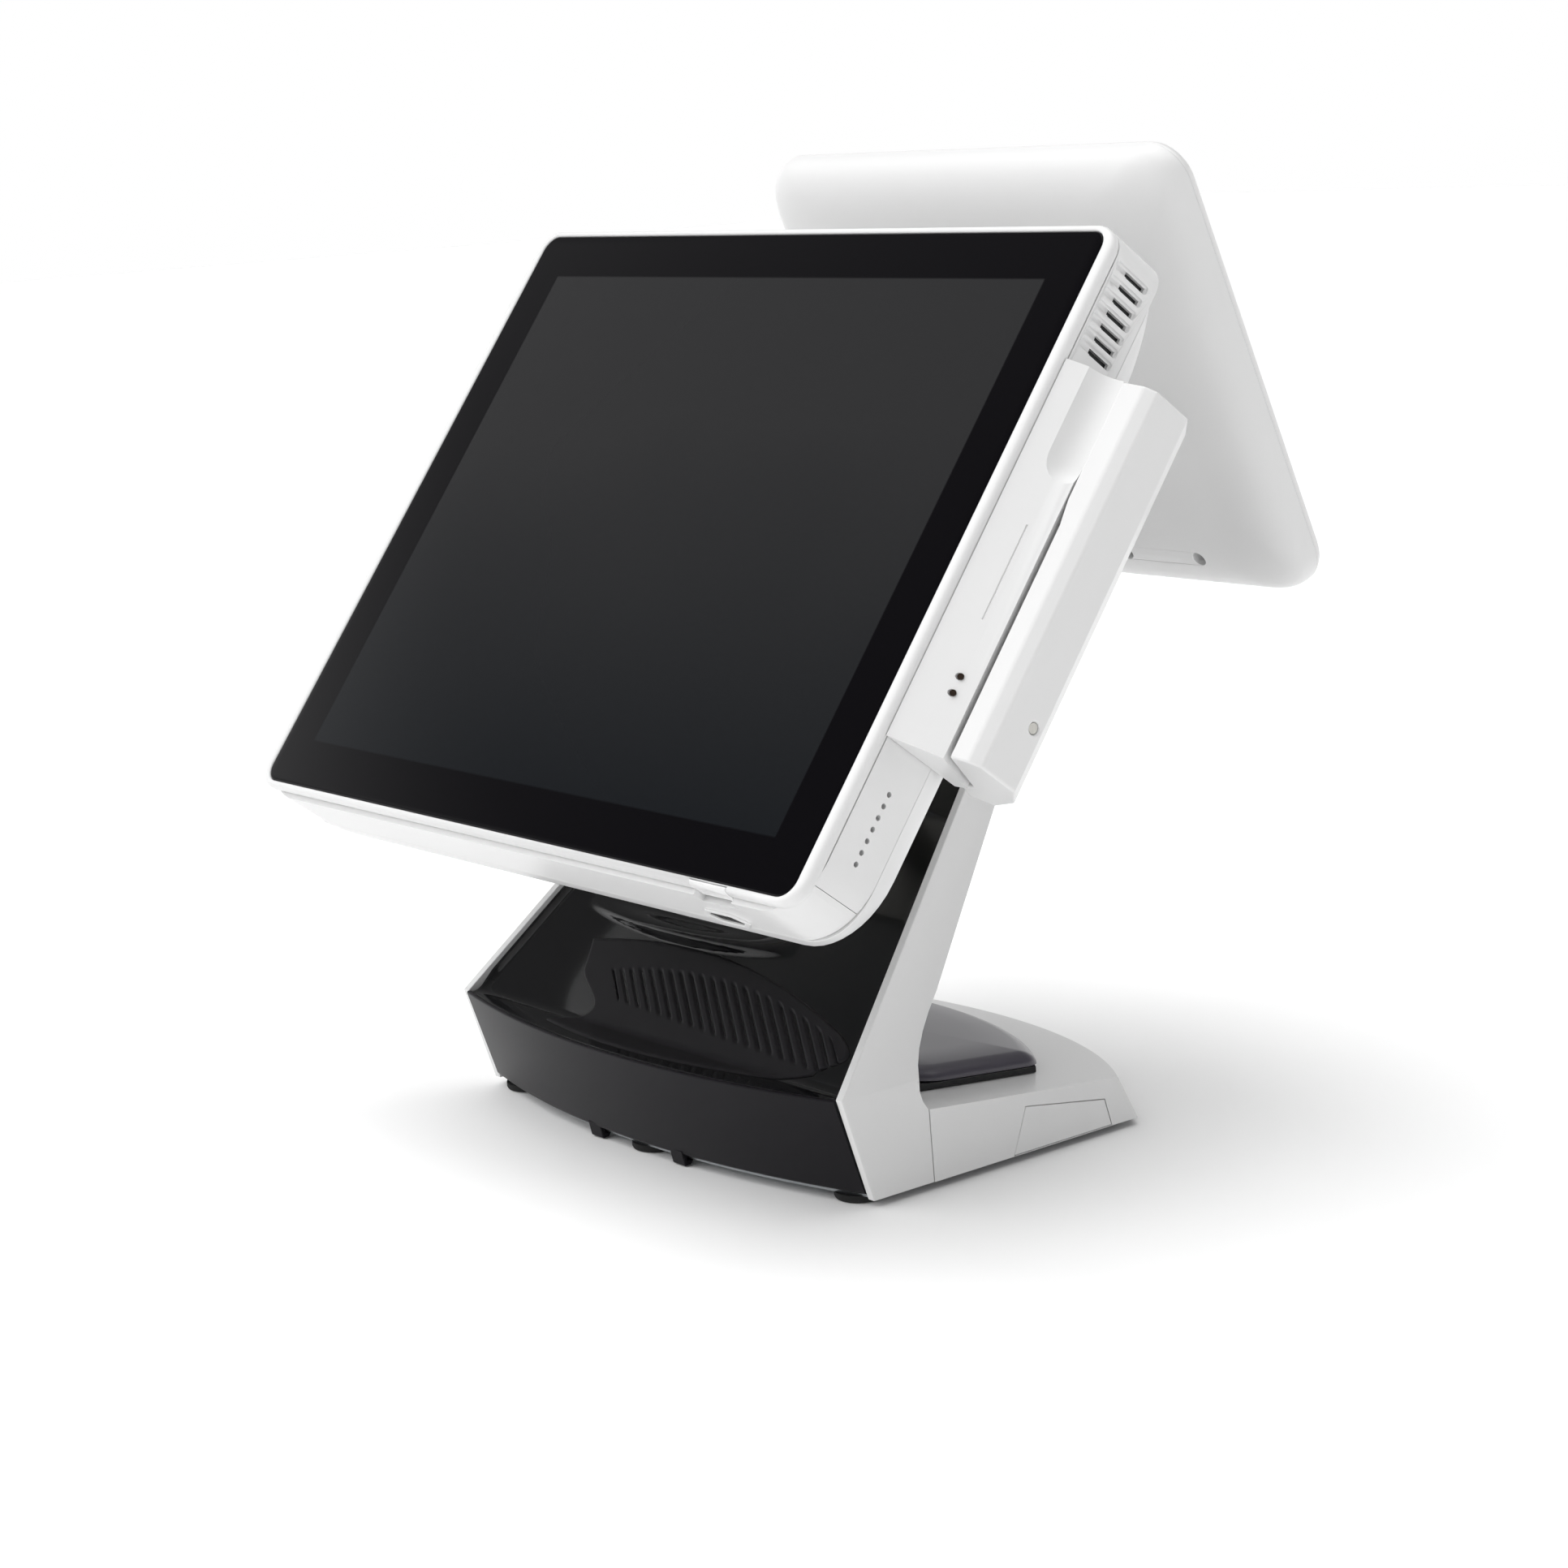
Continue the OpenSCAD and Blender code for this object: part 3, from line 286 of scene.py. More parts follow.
band_low, band_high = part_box("front_band")
band_top, band_bottom = band_high.z * 1000, band_low.z * 1000
band_half = band_high.x * 1000
band_radius, band_flare, band_wall = 434.0, 12.5, 2.5
band_centre = band_low.y * 1000 + band_radius
outline = rounded(band_wall, band_top - band_bottom, 1.1, 4)
level = outline[:, 1] + (band_top + band_bottom) / 2
radius = band_radius - band_wall / 2 + outline[:, 0] - (band_top - level) * band_flare / (band_top - band_bottom)
across = np.linspace(-1, 1, 121)[:, None]
band_x = across * band_half
band_y = band_centre - np.sqrt(radius ** 2 - band_x ** 2)
band = np.stack([band_x + 0 * radius, band_y, np.broadcast_to(level, band_y.shape)], -1) / 1000
front_band = finish(skin("front_band_shell", band, satin_black), "stand", "satin_black", "front_band")
finish(softened("front_tabs", 0.5, satin_black), "stand", "satin_black", "front_tabs")

# ---------------------------------------------------------------------------
# Gloss cover: one polished black ABS moulding. A flat ledge behind the band runs into the sloping front of the arm,
# side walls rise to the panels, and a crescent lip stands out under the display.

lean = math.radians(45.2)
slope_y = -0.97
fillet = 7.0
rise = math.pi / 2 - lean
taper = math.tan(math.radians(19))
ledge_z = band_top - 0.5
tray_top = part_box("tray_cover")[1].z * 1000
slope_run = (tray_top - ledge_z) / math.cos(lean)


def tray_point(x, s, lift):
    """Point of the gloss cover in mm. s is the way from the fold between ledge and slope: below 0 it runs level to the
    band, above 0 up the slope, and a circular fillet joins the two. lift is the height off the surface."""
    reach = fillet * math.tan(rise / 2)
    angle = np.clip((s / reach + 1) / 2, 0, 1) * rise
    y = np.where(s < -reach, s, np.where(s > reach, s * math.sin(lean), -reach + fillet * np.sin(angle)))
    z = np.where(s < -reach, 0 * s, np.where(s > reach, s * math.cos(lean), fillet * (1 - np.cos(angle))))
    return np.stack([x, slope_y + y - lift * np.sin(angle), ledge_z + z + lift * np.cos(angle)], -1) / 1000


def half_at(s):
    """Half width of the cover, which narrows with the arm above the band."""
    return band_half - 0.4 - np.maximum(s, 0) * math.cos(lean) * taper


def bell(value, width):
    """Smooth bump: 1 at 0 and 0 beyond the width, by a raised cosine."""
    return np.where(np.abs(value) < width, 0.5 + 0.5 * np.cos(np.pi * value / width), 0.0)


across = np.linspace(-1, 1, 181)
deep = slope_y - (band_centre - np.sqrt((band_radius - 2.8) ** 2 - (across * band_half) ** 2))
climb = np.concatenate([np.linspace(-1, 0, 24)[:-1], np.linspace(0, 75, 110), np.linspace(76, slope_run, 24)])[:, None]
s_grid = np.where(climb < 0, climb * deep, climb)
x_grid = across * half_at(s_grid)
lip_line = 45 + 9 * ((x_grid + 18) / 80) ** 2
lip_share = np.sqrt(bell((x_grid + 18) / 68, 1.0))
from_lip = s_grid - lip_line
lip = 5.5 * lip_share * np.where(from_lip < 0, bell(from_lip, 3.2), bell(from_lip, 11.0))
wall = 1.6 * np.clip((np.abs(across) - 0.955) / 0.045, 0, 1) ** 2 * np.clip(s_grid / 10, 0, 1)
tray = tray_point(x_grid, s_grid, lip + wall)
tray_shell = new_mesh("tray_shell", tray, grid_faces(*s_grid.shape, False, False), gloss_black, 60, (0, -1, 1))
thick = tray_shell.modifiers.new("wall", "SOLIDIFY")
thick.thickness, thick.offset = 0.0022, -1.0
finish(tray_shell, "stand", "gloss_black", "tray_cover")

# ---------------------------------------------------------------------------
# Grooved pad on the slope: grained black ABS, pressed into the cover. Its lower part is plain and reaches the ledge;
# above it a row of shallow slanting grooves follows an arc.

pad_u, pad_t = np.meshgrid(np.linspace(-1, 1, 461), np.linspace(0, 1, 91))
pad_left = -58 - 12 * pad_t ** 2 + 16 * bell(pad_t - 0.35, 0.35)
pad_right = 98 + 12 * bell(pad_t - 0.6, 0.6)
pad_low = -15 + 20 * ((pad_u + 0.3) / 1.3) ** 2
pad_high = 42 - 6.5 * pad_u - 12.5 * pad_u ** 2
pad_x = (pad_left + pad_right) / 2 + pad_u * (pad_right - pad_left) / 2
pad_s = pad_low + (pad_high - pad_low) * pad_t
rim = np.clip(np.minimum(np.minimum(pad_t, 1 - pad_t) * 22, (1 - np.abs(pad_u)) * 40), 0, 1)
groove_pitch, groove_slant = 6.9, 1.2
groove = (pad_x + groove_slant * (pad_s - 18)) / groove_pitch
lane = bell(np.mod(groove, 1.0) - 0.5, 0.3)
groove_top = 33 - 0.00192 * (pad_x - 18.7) ** 2
groove_low = 11.5 - 0.045 * (pad_x + 21)
ends = np.clip((groove_top - pad_s) / 1.6, 0, 1) * np.clip((pad_s - groove_low) / 1.6, 0, 1)
sides = np.clip((groove + 5.5) * 1e6, 0, 1) * np.clip((14.5 - groove) * 1e6, 0, 1)
lift = -0.5 + 1.3 * np.sqrt(1 - (1 - rim) ** 2) - 0.9 * lane * ends * sides
pad = tray_point(pad_x, pad_s, lift)
pad_piece = new_mesh("tray_pad", pad, grid_faces(*pad_u.shape, False, False), inset_black, 60, (0, -1, 1))
thick = pad_piece.modifiers.new("wall", "SOLIDIFY")
thick.thickness, thick.offset = 0.0012, -1.0
finish(pad_piece, "stand", "satin_black", "tray_inset")

# ---------------------------------------------------------------------------
# Cable cover: a satin grey ABS lid with a rounded rim, on a polished black skirt that closes the cable bay.

lid_half, lid_front, lid_radius, lid_centre, lid_rise = 101.0, 50.0, 160.0, -11.0, 8.0


def lid_outline(inset):
    """Plan of the cable cover shrunk by inset: two straight sides, a rear arc about lid_centre, and rounded corners."""
    near, far = max(15 - inset, 1.0), max(10 - inset, 1.0)
    x, big = lid_half - inset, lid_radius - inset
    far_y = lid_centre + math.sqrt((big - far) ** 2 - (x - far) ** 2)
    turn = math.atan2(far_y - lid_centre, x - far)
    right = [(x - near, lid_front + inset + near, near, np.linspace(-np.pi / 2, 0, 9)),
             (x - far, far_y, far, np.linspace(0, turn, 8))]
    half = np.concatenate([np.stack([cx + r * np.cos(a), cy + r * np.sin(a)], 1) for cx, cy, r, a in right])
    rear = np.linspace(turn, np.pi - turn, 34)[1:-1]
    arc = np.stack([big * np.cos(rear), lid_centre + big * np.sin(rear)], 1)
    return np.concatenate([half, arc, half[::-1] * [-1, 1]])


def deck_height(y):
    """Height of the deck's flat top, which falls evenly towards the rear."""
    return 31.5 - 0.1021 * (y - 36)


turn = np.linspace(0, np.pi / 2, 8)
plan = [(0.05, 60.0, 1.6), (0.45, 20.0, 1.4), (0.8, 9.0, 0.9)]
lid_rings = []
for share, level_in, crown_up in plan:
    flat = lid_outline(7.0) * share + np.array([0, 88]) * (1 - share)
    lid_rings.append(np.column_stack([flat, deck_height(flat[:, 1]) + lid_rise + crown_up]))
for inset, drop in [*zip(7.0 * (1 - np.sin(turn)), 4.4 * (1 - np.cos(turn))), (0.0, 4.6), (0.5, 4.9), (1.8, 4.9), (2.0, 4.5),
                    (3.0, 2.4)]:
    flat = lid_outline(float(inset))
    lid_rings.append(np.column_stack([flat, deck_height(flat[:, 1]) + lid_rise + 0.5 * (inset / 7) ** 2 - drop]))
flat = lid_rings[-1][:, :2] * 0.05 + np.array([0, 88]) * 0.95
lid_rings.append(np.column_stack([flat, deck_height(flat[:, 1]) + lid_rise - 2.4]))
finish(skin("cable_lid", np.stack(lid_rings) / 1000, grey_abs, False, 50), "cable_cover", "grey_cover", "cable_cover")
finish(softened("cable_cover_skirt", 0.4, gloss_black), "cable_cover", "gloss_black", "cable_cover_skirt")

# ---------------------------------------------------------------------------
# Feet: matt rubber discs with a rounded lower edge and a shallow hollow underneath, glued to the plate.

foot_radius, foot_height = 10.0, 3.0
foot_profile = np.array([[0.0, 0.7], [5.5, 0.6], [7.2, 0.1], [8.6, 0.0], [9.6, 0.4], [10.0, 1.2], [10.0, 3.0], [0.0, 3.0]])
turn = np.linspace(0, 2 * np.pi, 49)[:-1, None]
foot_points = [[0, 0], [108, 14], [-108, 14], [82, 132], [-82, 132]]
feet = []
for k, (foot_x, foot_y) in enumerate(foot_points):
    spun = np.stack([foot_x + foot_profile[:, 0] * np.cos(turn), foot_y + foot_profile[:, 0] * np.sin(turn),
                     foot_profile[:, 1] + 0 * turn], -1) / 1000
    foot = new_mesh(f"foot_{k + 1}", spun, grid_faces(48, 8, True, False), rubber)
    finish(foot, "stand", "rubber", *(["rubber_feet"] if k == 0 else []))

# ---------------------------------------------------------------------------
# Head, seen along its own axes: x to the user's right, v up the screen, n out of the glass, all in millimetres.

head_n = -np.array(joints["power_button_press"]["axis"], float)
head_u = np.array([0, head_n[2], -head_n[1]])
glass_low, glass_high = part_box("touch_glass")
glass_t = 3.0
head_middle = (np.array(glass_low) + np.array(glass_high)) / 2 + head_n * glass_t / 2000


def in_head(x, v, n):
    """Point of the head from millimetres along its own axes, in metres along the object's."""
    x, v, n = np.broadcast_arrays(x, v, n)
    return head_middle + (x[..., None] * [1.0, 0, 0] + v[..., None] * head_u + n[..., None] * head_n) / 1000


glass_w, glass_h, glass_r = 346.0, 269.0, 7.0
bezel_w, bezel_h, bezel_r, bezel_d = 357.0, 275.0, 12.0, 4.2

# Cover glass: a flat sheet with a ground edge, black ink behind its border, and the dim display behind its middle,
# whose colour carries a painted sheen that is lighter towards the top.


def cover_glass(name, origin, turned, active_w, active_h, border, painted_sheen_top, bottom):
    """Glass over ink and display: gloss from the shader, colour by place on the sheet, and a painted sheen that paints
    the display lighter towards its top in place of reflected light.
    """
    made = bpy.data.materials.new(name)
    made.use_nodes = True
    tree = made.node_tree
    shader = tree.nodes["Principled BSDF"]
    where = add_node(tree, "ShaderNodeTexCoord")
    local = add_node(tree, "ShaderNodeMapping", {0: (where, "Object")}, vector_type="TEXTURE")
    local.inputs["Location"].default_value, local.inputs["Rotation"].default_value = origin, turned
    axes = add_node(tree, "ShaderNodeSeparateXYZ", {0: (local, 0)})
    inside = []
    for axis, size in (("X", active_w), ("Y", active_h)):
        away = add_node(tree, "ShaderNodeMath", {0: (axes, axis)}, operation="ABSOLUTE")
        inside.append(add_node(tree, "ShaderNodeMapRange", {0: (away, 0)}, _1=size / 2 + 0.0004, _2=size / 2 - 0.0004))
    mask = add_node(tree, "ShaderNodeMath", {0: (inside[0], 0), 1: (inside[1], 0)}, operation="MULTIPLY")
    # Painted sheen: the display's colour is painted from the darker bottom colour up to the lighter top colour, with a
    # faint noise mottle, standing in for reflected light.
    up = add_node(tree, "ShaderNodeMapRange", {0: (axes, "Y")}, _1=-active_h / 2, _2=active_h / 2)
    smear_and_sheen_noise = add_node(tree, "ShaderNodeTexNoise", {"Vector": (local, 0)}, _Scale=6.0)
    painted_sheen_factor = add_node(tree, "ShaderNodeMath", {0: (smear_and_sheen_noise, "Fac"), 1: (up, 0)}, operation="MULTIPLY_ADD", _2=-0.08)
    painted_sheen_factor.inputs[1].default_value = 0.16
    tree.links.new(up.outputs[0], painted_sheen_factor.inputs[2])
    display_and_painted_sheen = add_node(tree, "ShaderNodeMix", {"Factor": (painted_sheen_factor, 0)}, data_type="RGBA")
    display_and_painted_sheen.inputs[6].default_value, display_and_painted_sheen.inputs[7].default_value = linear(bottom), linear(painted_sheen_top)
    ink = add_node(tree, "ShaderNodeMix", {"Factor": (mask, 0), 7: (display_and_painted_sheen, 2)}, data_type="RGBA")
    ink.inputs[6].default_value = linear(border)
    tree.links.new(ink.outputs[2], shader.inputs["Base Color"])
    smear = add_node(tree, "ShaderNodeMapRange", {0: (smear_and_sheen_noise, "Fac")}, _3=0.05, _4=0.09)
    tree.links.new(smear.outputs[0], shader.inputs["Roughness"])
    shader.inputs["IOR"].default_value = 1.5
    shader.inputs["Specular IOR Level"].default_value = 0.16
    return made


head_turn = (math.asin(head_n[2]) * -1 + math.pi / 2, 0, 0)
# The display colours, darker at the bottom and lighter at the top, form a painted sheen.
touch_ink = cover_glass("coated_touch_glass", head_middle.tolist(), (math.atan2(head_u[2], head_u[1]), 0, 0),
                        0.3041, 0.2281, "#060508", "#282829", "#15171A")


def sheet_rings(width, height, radius, front, back, edge, to_world):
    """Rings of a flat sheet with rounded rims: an outline that grows by a quarter circle from the front face to its side
    and shrinks again to the back face."""
    turn = np.linspace(0, np.pi / 2, 4)
    inset = np.concatenate([edge * (1 - np.sin(turn)), edge * (1 - np.cos(turn))])
    depth = np.concatenate([front - edge * (1 - np.cos(turn)), back + edge * (1 - np.sin(turn))])
    rings = np.stack([rounded(width - 2 * k, height - 2 * k, max(radius - k, 0.3)) for k in inset])
    return to_world(rings[..., 0], rings[..., 1], depth[:, None])


glass = skin("touch_glass_sheet", sheet_rings(glass_w, glass_h, glass_r, 0.0, -glass_t, 0.5, in_head), touch_ink)
finish(glass, "head", "cover_glass", "touch_glass")

# Bezel: a slim white ABS frame round the glass, with a soft round rim that stands half a millimetre proud.


def rim_frame(name, inner, outer, profile, to_world, material):
    """A frame between two outlines: the profile's share places each ring between them, and its depth is n."""
    share, depth = profile[:, 0, None, None], profile[:, 1, None]
    rings = inner[None] * (1 - share) + outer[None] * share
    return skin(name, to_world(rings[..., 0], rings[..., 1], depth), material, True, 40)


rim_profile = np.array([[0.0, -3.0], [0.0, -0.3], [0.06, 0.15], [0.2, 0.45], [0.45, 0.5], [0.7, 0.25], [0.88, -0.4],
                        [0.97, -1.3], [1.0, -2.2], [1.0, -3.5], [0.9, -4.2], [0.0, -4.2]])
bezel = rim_frame("bezel_rim", rounded(glass_w + 0.5, glass_h + 0.5, glass_r + 0.25, 10),
                  rounded(bezel_w, bezel_h, bezel_r, 10), rim_profile, in_head, white_abs)
button_x, button_w = 129.8, 20.6
side_x = bezel_w / 2


def box_points(x, v, n):
    """Eight corners of a block from its lowest and highest x, v and n."""
    corner = np.array([[i, j, k] for k in (0, 1) for j in (0, 1) for i in (0, 1)])
    return np.stack([np.asarray(x)[corner[:, 0]], np.asarray(v)[corner[:, 1]], np.asarray(n)[corner[:, 2]]], 1)


BLOCK = np.array([[0, 2, 3, 1], [4, 5, 7, 6], [0, 1, 5, 4], [2, 6, 7, 3], [0, 4, 6, 2], [1, 3, 7, 5]])


def blocks(name, spans, to_world, material):
    """Several blocks in one mesh, each from its spans of x, v and n."""
    points = np.concatenate([box_points(*span) for span in spans]).astype(float)
    faces = np.concatenate([BLOCK + 8 * k for k in range(len(spans))])
    return new_mesh(name, to_world(points[:, 0], points[:, 1], points[:, 2]), faces, material)


button = bpy.data.objects.new("button_shape", bezel.data.copy())
bpy.context.scene.collection.objects.link(button)
reach_v, reach_n = (-bezel_h / 2 - 1, -glass_h / 2 - 0.8), (-5.0, 2.0)
carve(bezel, blocks("button_gap", [((button_x - button_w / 2 - 0.5, button_x + button_w / 2 + 0.5), reach_v, reach_n)],
                    in_head, white_abs))
carve(button, blocks("button_reach", [((button_x - button_w / 2, button_x + button_w / 2),
                                       (reach_v[0], reach_v[1] - 0.5), (-3.9, 2.0))], in_head, white_abs), "INTERSECT")
stem = softened("power_button", 0.3, white_abs)
stem.modifiers.clear()
carve(stem, blocks("stem_reach", [((0.0, side_x), (-160.0, -100.0), (-40.0, -3.85))], in_head, white_abs), "INTERSECT")
carve(button, stem, "UNION")
finish(rounded_edges(button, 0.2, 2, 40), "power_button", "white_abs", "power_button")
finish(bezel, "head", "white_abs", "bezel_frame")

# ---------------------------------------------------------------------------
# Side frame and lower cover: white ABS ring behind the bezel. Seven vent slots start as shallow recesses and turn into
# dark slits; seven small holes below them serve the speaker. A hexagonal window opens in the lower face.

side_frame = softened("side_frame", 0.35, white_abs)
vent_spans = [((side_x - 1.1, side_x + 1), (90.2 + 5.4 * k, 93.4 + 5.4 * k), (-24.0, -5.6)) for k in range(7)]
vents = blocks("vent_cutter", vent_spans, in_head, white_abs)
rounded_edges(vents, 1.3, 4)
side_frame.modifiers.clear()
carve(side_frame, vents)
rounded_edges(side_frame, 0.35, 2)
finish(side_frame, "head", "white_abs", "side_frame")
finish(softened("bottom_cover", 0.35, white_abs), "head", "white_abs", "bottom_cover")
finish(softened("window_grille", 0.15, dark_plastic), "head", "dark_parts", "window_grille")

# Raised white rim round the hexagonal window: a hexagonal ring carried round a small rounded section.
window_x, window_n, window_v = 119.0, -23.0, -139.5
hexagon = np.array([[-10.0, 0], [-6, -3.5], [6, -3.5], [10, 0], [6, 3.5], [-6, 3.5]])
hexagon_out = np.array([[-13.4, 0], [-7.4, -5.5], [7.4, -5.5], [13.4, 0], [7.4, 5.5], [-7.4, 5.5]])
share = np.array([0.0, 0.0, 0.15, 0.85, 1.0, 1.0])[:, None, None]
proud = np.array([0.8, -0.5, -0.8, -0.8, -0.5, 0.8])[:, None]
ring_at = hexagon * (1 - share) + hexagon_out * share
hex_rim = skin("window_rim", in_head(window_x + ring_at[..., 0], window_v + proud, window_n + ring_at[..., 1]),
               white_abs, True, 30)
finish(hex_rim, "head", "white_abs")

# ---------------------------------------------------------------------------
# Rear housing: a white ABS dome that narrows towards the back, with a wide recess for the stand's leaf.

dome_steps = np.array([[28.2, 178.5, -139.5, 136.5, 21], [34, 176.3, -139.0, 130, 25], [40, 172.0, -137.8, 120, 28],
                       [46, 165.0, -136.0, 107, 32], [51.5, 155.5, -133.0, 89, 35], [56.5, 141, -129.0, 64, 38],
                       [59.3, 124, -123.0, 36, 40], [60, 108, -115, 16, 40]])
steps = np.linspace(0, len(dome_steps) - 1, 29)
whole = np.clip(np.floor(steps).astype(int), 0, len(dome_steps) - 2)
part = (steps - whole)[:, None]
before = dome_steps[np.maximum(whole - 1, 0)]
after = dome_steps[np.minimum(whole + 2, len(dome_steps) - 1)]
first, second = dome_steps[whole], dome_steps[whole + 1]
smooth = 0.5 * (2 * first + (second - before) * part + (2 * before - 5 * first + 4 * second - after) * part ** 2
                + (3 * first - before - 3 * second + after) * part ** 3)
dome_rings = np.stack([rounded(2 * s[1], s[3] - s[2], s[4], 10) + [0, (s[3] + s[2]) / 2] for s in smooth])
housing = skin("rear_housing_shell", in_head(dome_rings[..., 0], dome_rings[..., 1], -smooth[:, 0, None]), white_abs)
notch_w, notch_low, notch_high, notch_n = 172.0, -175.0, 48.0, -46.0
notch_rings = np.stack([rounded(notch_w + g, notch_high - notch_low + g, 12, 6) + [0, (notch_high + notch_low) / 2]
                        for g in (0.0, 3.0, 8.0)])
notch = skin("notch_cutter", in_head(notch_rings[..., 0], notch_rings[..., 1], np.array([notch_n, -53.0, -64.0])[:, None]),
             white_abs)
carve(housing, notch)
rounded_edges(housing, 1.2, 3, 40)
finish(housing, "head", "white_abs", "rear_housing")

# ---------------------------------------------------------------------------
# Card reader: a white ABS body on the display's right side and a cap beside it, with the card slot between them.
# The body has a thumb scoop by the slot, two lamp holes and an engraved line; the cap is rounded all over.


def bar(name, section, v_low, v_high, material, count=2):
    """A bar along v from a section of (x, n) points."""
    v = np.linspace(v_low, v_high, count)[:, None]
    return skin(name, in_head(section[None, :, 0], v, section[None, :, 1]), material)


reader_low, reader_high = -69.0, 83.0
cap_x = side_x + 31
slot_top, slot_end = np.array([side_x + 17.8, -15.8]), np.array([side_x + 6.6, -41.0])
slot_way = (slot_top - slot_end) / np.linalg.norm(slot_top - slot_end)
slot_step = 1.8 * np.array([-slot_way[1], slot_way[0]])
body_section = np.array([[side_x + 0.3, -3], slot_top, slot_end, [side_x + 0.3, -41.0]])
reader = bar("reader_body_shell", body_section, reader_low, reader_high, white_abs)
scoop_v = np.concatenate([34 + 14 * (1 - np.cos(np.linspace(0, np.pi / 2, 9))), [70.0, 95.0]])[:, None]
shrink = np.sqrt(np.clip(1 - np.clip((48 - scoop_v) / 14, 0, 1) ** 2, 0.0004, 1))
swing = np.linspace(0, 2 * np.pi, 41)[None, :-1]
scoop_x = slot_top[0] + 1.5 + 12.0 * shrink * np.cos(swing)
scoop_n = slot_top[1] + 9.5 + 11.5 * shrink * np.sin(swing)
carve(reader, skin("scoop_cutter", in_head(scoop_x, scoop_v + 0 * scoop_x, scoop_n), white_abs))


def face_n(x):
    """Depth of the reader's slanted front face at x."""
    return -3 + (x - side_x - 0.3) * (slot_top[1] + 3) / (slot_top[0] - side_x - 0.3)


engraved = blocks("line_cutter", [((side_x + 10.6, side_x + 11.2), (-18.0, 20.0), (face_n(side_x + 11) - 0.35, 0.0))],
                  in_head, white_abs)
carve(reader, engraved)
for lamp_v in (-40.0, -46.4):
    lamp_x = side_x + 12
    ring = np.linspace(0, 2 * np.pi, 25)[:-1]
    hole = np.stack([lamp_x + 1.3 * np.cos(ring), lamp_v + 1.3 * np.sin(ring)], 1)
    drilled = skin("lamp_cutter", in_head(hole[None, :, 0], hole[None, :, 1],
                                          np.array([face_n(lamp_x) - 2.0, 2.0])[:, None]), white_abs)
    carve(reader, drilled)
rounded_edges(reader, 0.8, 3, 35)
finish(reader, "head", "white_abs", "reader_body")

cap_section = np.array([slot_top - slot_step, [cap_x - 4, -18.2], [cap_x, -22], [cap_x, -40], [cap_x - 10, -51],
                        [side_x + 6, -57], [side_x - 2, -51], [side_x + 1.5, -42.5], slot_end - slot_step - [0, 0.5]])
cap_v = np.array([reader_low + 1, 24.0, 34.0, reader_high - 1])[:, None]
cap_x_all = np.repeat(cap_section[None, :, 0], 4, 0)
cap_n_all = np.repeat(cap_section[None, :, 1], 4, 0)
cap_x_all[2:, 0] += 1.3 * slot_step[0] / 1.8
cap_n_all[2:, 0] += 1.3 * slot_step[1] / 1.8
cap = skin("reader_cap_shell", in_head(cap_x_all, cap_v, cap_n_all), white_abs)
screw_hole = np.stack([-45 + 2.2 * np.cos(ring), -36 + 2.2 * np.sin(ring)], 1)
carve(cap, skin("screw_cutter", in_head(np.array([cap_x - 3.0, cap_x + 2.0])[:, None], screw_hole[None, :, 0],
                                        screw_hole[None, :, 1]), white_abs))
rounded_edges(cap, 1.0, 3, 20)
finish(cap, "head", "white_abs", "reader_cap")

# ---------------------------------------------------------------------------
# Customer display: a domed white ABS back, a slim white front frame and its own dark cover glass.

rear_tilt = math.radians(23.1)
rear_n = np.array([0, math.cos(rear_tilt), math.sin(rear_tilt)])
rear_u = np.array([0, -math.sin(rear_tilt), math.cos(rear_tilt)])
rear_low, rear_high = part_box("rear_glass")
rear_middle = (np.array(rear_low) + np.array(rear_high)) / 2 - rear_n * 0.005005
rear_w, rear_h = 246.0, 198.0


def in_rear(x, v, n):
    """Point of the customer display from millimetres across, up and out of its glass, in metres."""
    x, v, n = np.broadcast_arrays(x, v, n)
    return rear_middle + (x[..., None] * [-1.0, 0, 0] + v[..., None] * rear_u + n[..., None] * rear_n) / 1000


crown = np.linspace(0, np.pi / 2, 15)
inset = 30.0 * (1 - np.cos(crown)) ** 1.15
depth = -20.0 * np.sin(crown) ** 0.9
back_rings = np.stack([rounded(rear_w - 2 * k, rear_h - 2 * k, 17 + 0.25 * k, 10) for k in inset])
rear_back = skin("rear_back_shell", in_rear(back_rings[..., 0], back_rings[..., 1], depth[:, None]), white_abs)
for screw_x in (-75.5, -33.5, 33.5, 75.5):
    pit = np.stack([screw_x + 3.2 * np.cos(ring), -80 + 3.2 * np.sin(ring)], 1)
    carve(rear_back, skin("pit_cutter", in_rear(pit[None, :, 0], pit[None, :, 1], np.array([-22.0, -10.0])[:, None]),
                          white_abs))
rounded_edges(rear_back, 0.4, 2, 40)
finish(rear_back, "customer_display", "white_abs", "rear_back_cover")
rear_profile = np.array([[0.0, 4.0], [0.0, 5.8], [0.08, 6.1], [0.3, 5.8], [0.55, 4.9], [0.78, 3.5], [0.93, 1.8], [1.0, 0.3],
                         [0.98, 0.0], [0.0, 0.0]])
rear_rim = rim_frame("rear_bezel_rim", rounded(rear_w - 12, rear_h - 12, 12, 10), rounded(rear_w, rear_h, 17, 10),
                     rear_profile, in_rear, white_abs)
finish(rear_rim, "customer_display", "white_abs", "rear_bezel")
# The display colours, darker at the bottom and lighter at the top, form a painted sheen.
rear_ink = cover_glass("coated_display_glass", rear_middle.tolist(), (math.atan2(rear_u[2], rear_u[1]), 0, 0),
                       0.216, 0.1355, "#060508", "#26282A", "#17191C")
rear_sheet = sheet_rings(rear_w - 12.6, rear_h - 12.6, 11.6, 6.0, 4.0, 0.4, in_rear)
finish(skin("rear_glass_sheet", rear_sheet, rear_ink), "customer_display", "cover_glass", "rear_glass")

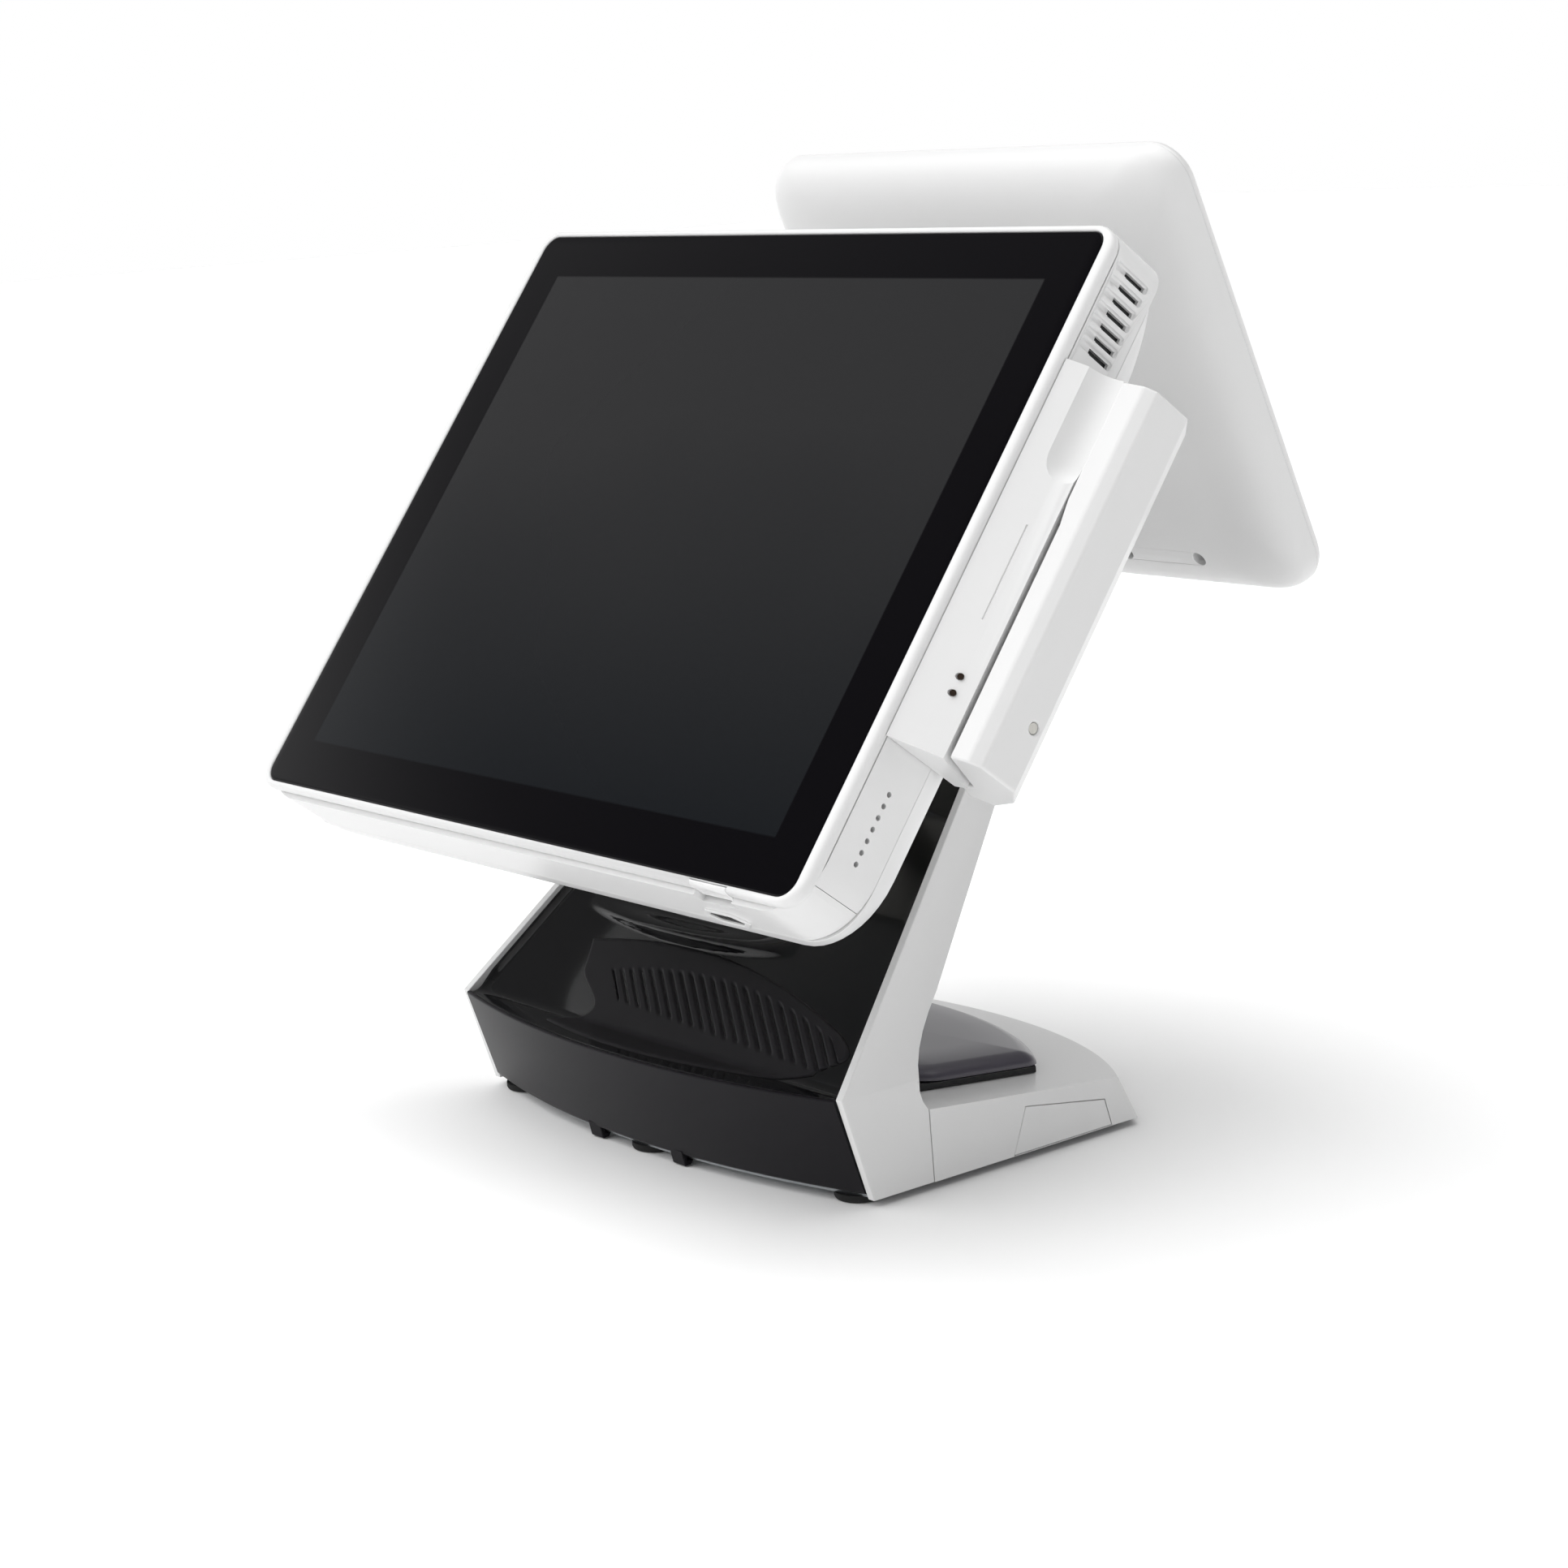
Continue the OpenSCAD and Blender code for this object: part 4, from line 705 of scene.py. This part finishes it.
# ---------------------------------------------------------------------------
# Arm sleeve between the stand and the customer display: a white ABS tube of square section.

finish(softened("rear_arm_cover", 0.8, white_abs), "stand", "white_abs", "rear_arm_cover")

# ---------------------------------------------------------------------------
# Metal, boards and inner pieces keep their CAD shape and get their own finishes.


def metal(name, colour, deep, rough, streak, relief):
    """Bare or plated metal: fine streaks or spangle in colour, roughness and bump, from a stretched noise."""
    made = bpy.data.materials.new(name)
    made.use_nodes = True
    tree = made.node_tree
    shader = tree.nodes["Principled BSDF"]
    where = add_node(tree, "ShaderNodeTexCoord")
    stretched = add_node(tree, "ShaderNodeMapping", {0: (where, "Object")})
    stretched.inputs["Scale"].default_value = streak
    grain = add_node(tree, "ShaderNodeTexNoise", {"Vector": (stretched, 0)}, _Scale=1.0, _Detail=4.0)
    tint = add_node(tree, "ShaderNodeMix", {"Factor": (grain, "Fac")}, data_type="RGBA")
    tint.inputs[6].default_value, tint.inputs[7].default_value = linear(colour), linear(deep)
    gloss = add_node(tree, "ShaderNodeMapRange", {0: (grain, "Fac")}, _3=rough * 0.7, _4=rough * 1.3)
    bump = add_node(tree, "ShaderNodeBump", {"Height": (grain, "Fac")}, _Strength=relief, _Distance=0.0001)
    tree.links.new(tint.outputs[2], shader.inputs["Base Color"])
    tree.links.new(gloss.outputs[0], shader.inputs["Roughness"])
    tree.links.new(bump.outputs[0], shader.inputs["Normal"])
    shader.inputs["Metallic"].default_value = 1.0
    return made


board = plastic("green_solder_mask", "#0E4A2C", "#0A3A22", 0.35, 1.2, 0.3)
lens = plastic("tinted_lens", "#2B1D14", "#1E1610", 0.15, 3.0, 0.02, 0.5)
finishes = {
    "galvanised_steel": metal("galvanised_steel", "#B9BCBF", "#9DA1A5", 0.38, (140, 140, 140), 0.1),
    "zinc_plate": metal("zinc_plated_steel", "#C4C3BE", "#A9A8A2", 0.32, (60, 900, 60), 0.1),
    "ground_steel": metal("ground_steel", "#C9CACC", "#B2B3B6", 0.22, (2500, 80, 80), 0.12),
    "spring_bronze": metal("rolled_bronze", "#C29A5B", "#A98146", 0.3, (80, 900, 80), 0.1),
    "aluminium": metal("extruded_aluminium", "#CDCED0", "#B5B7BA", 0.3, (900, 60, 60), 0.1),
    "connector_shell": metal("tinned_steel", "#C2C3C5", "#A8AAAD", 0.25, (200, 200, 200), 0.05),
    "circuit_board": board, "lamp_lens": lens, "dark_parts": dark_plastic, "display_module": dark_plastic,
    "white_abs": white_abs, "gloss_black": gloss_black, "satin_black": satin_black, "grey_cover": grey_abs,
    "rubber": rubber, "cover_glass": touch_ink,
}
slots = {part["node"]: part["material_slot"] for part in frame["record"]["subparts"]}
for name, node in frame["nodes"].items():
    if not node.hide_render:
        node.data.materials.clear()
        node.data.materials.append(finishes[slots[name]])
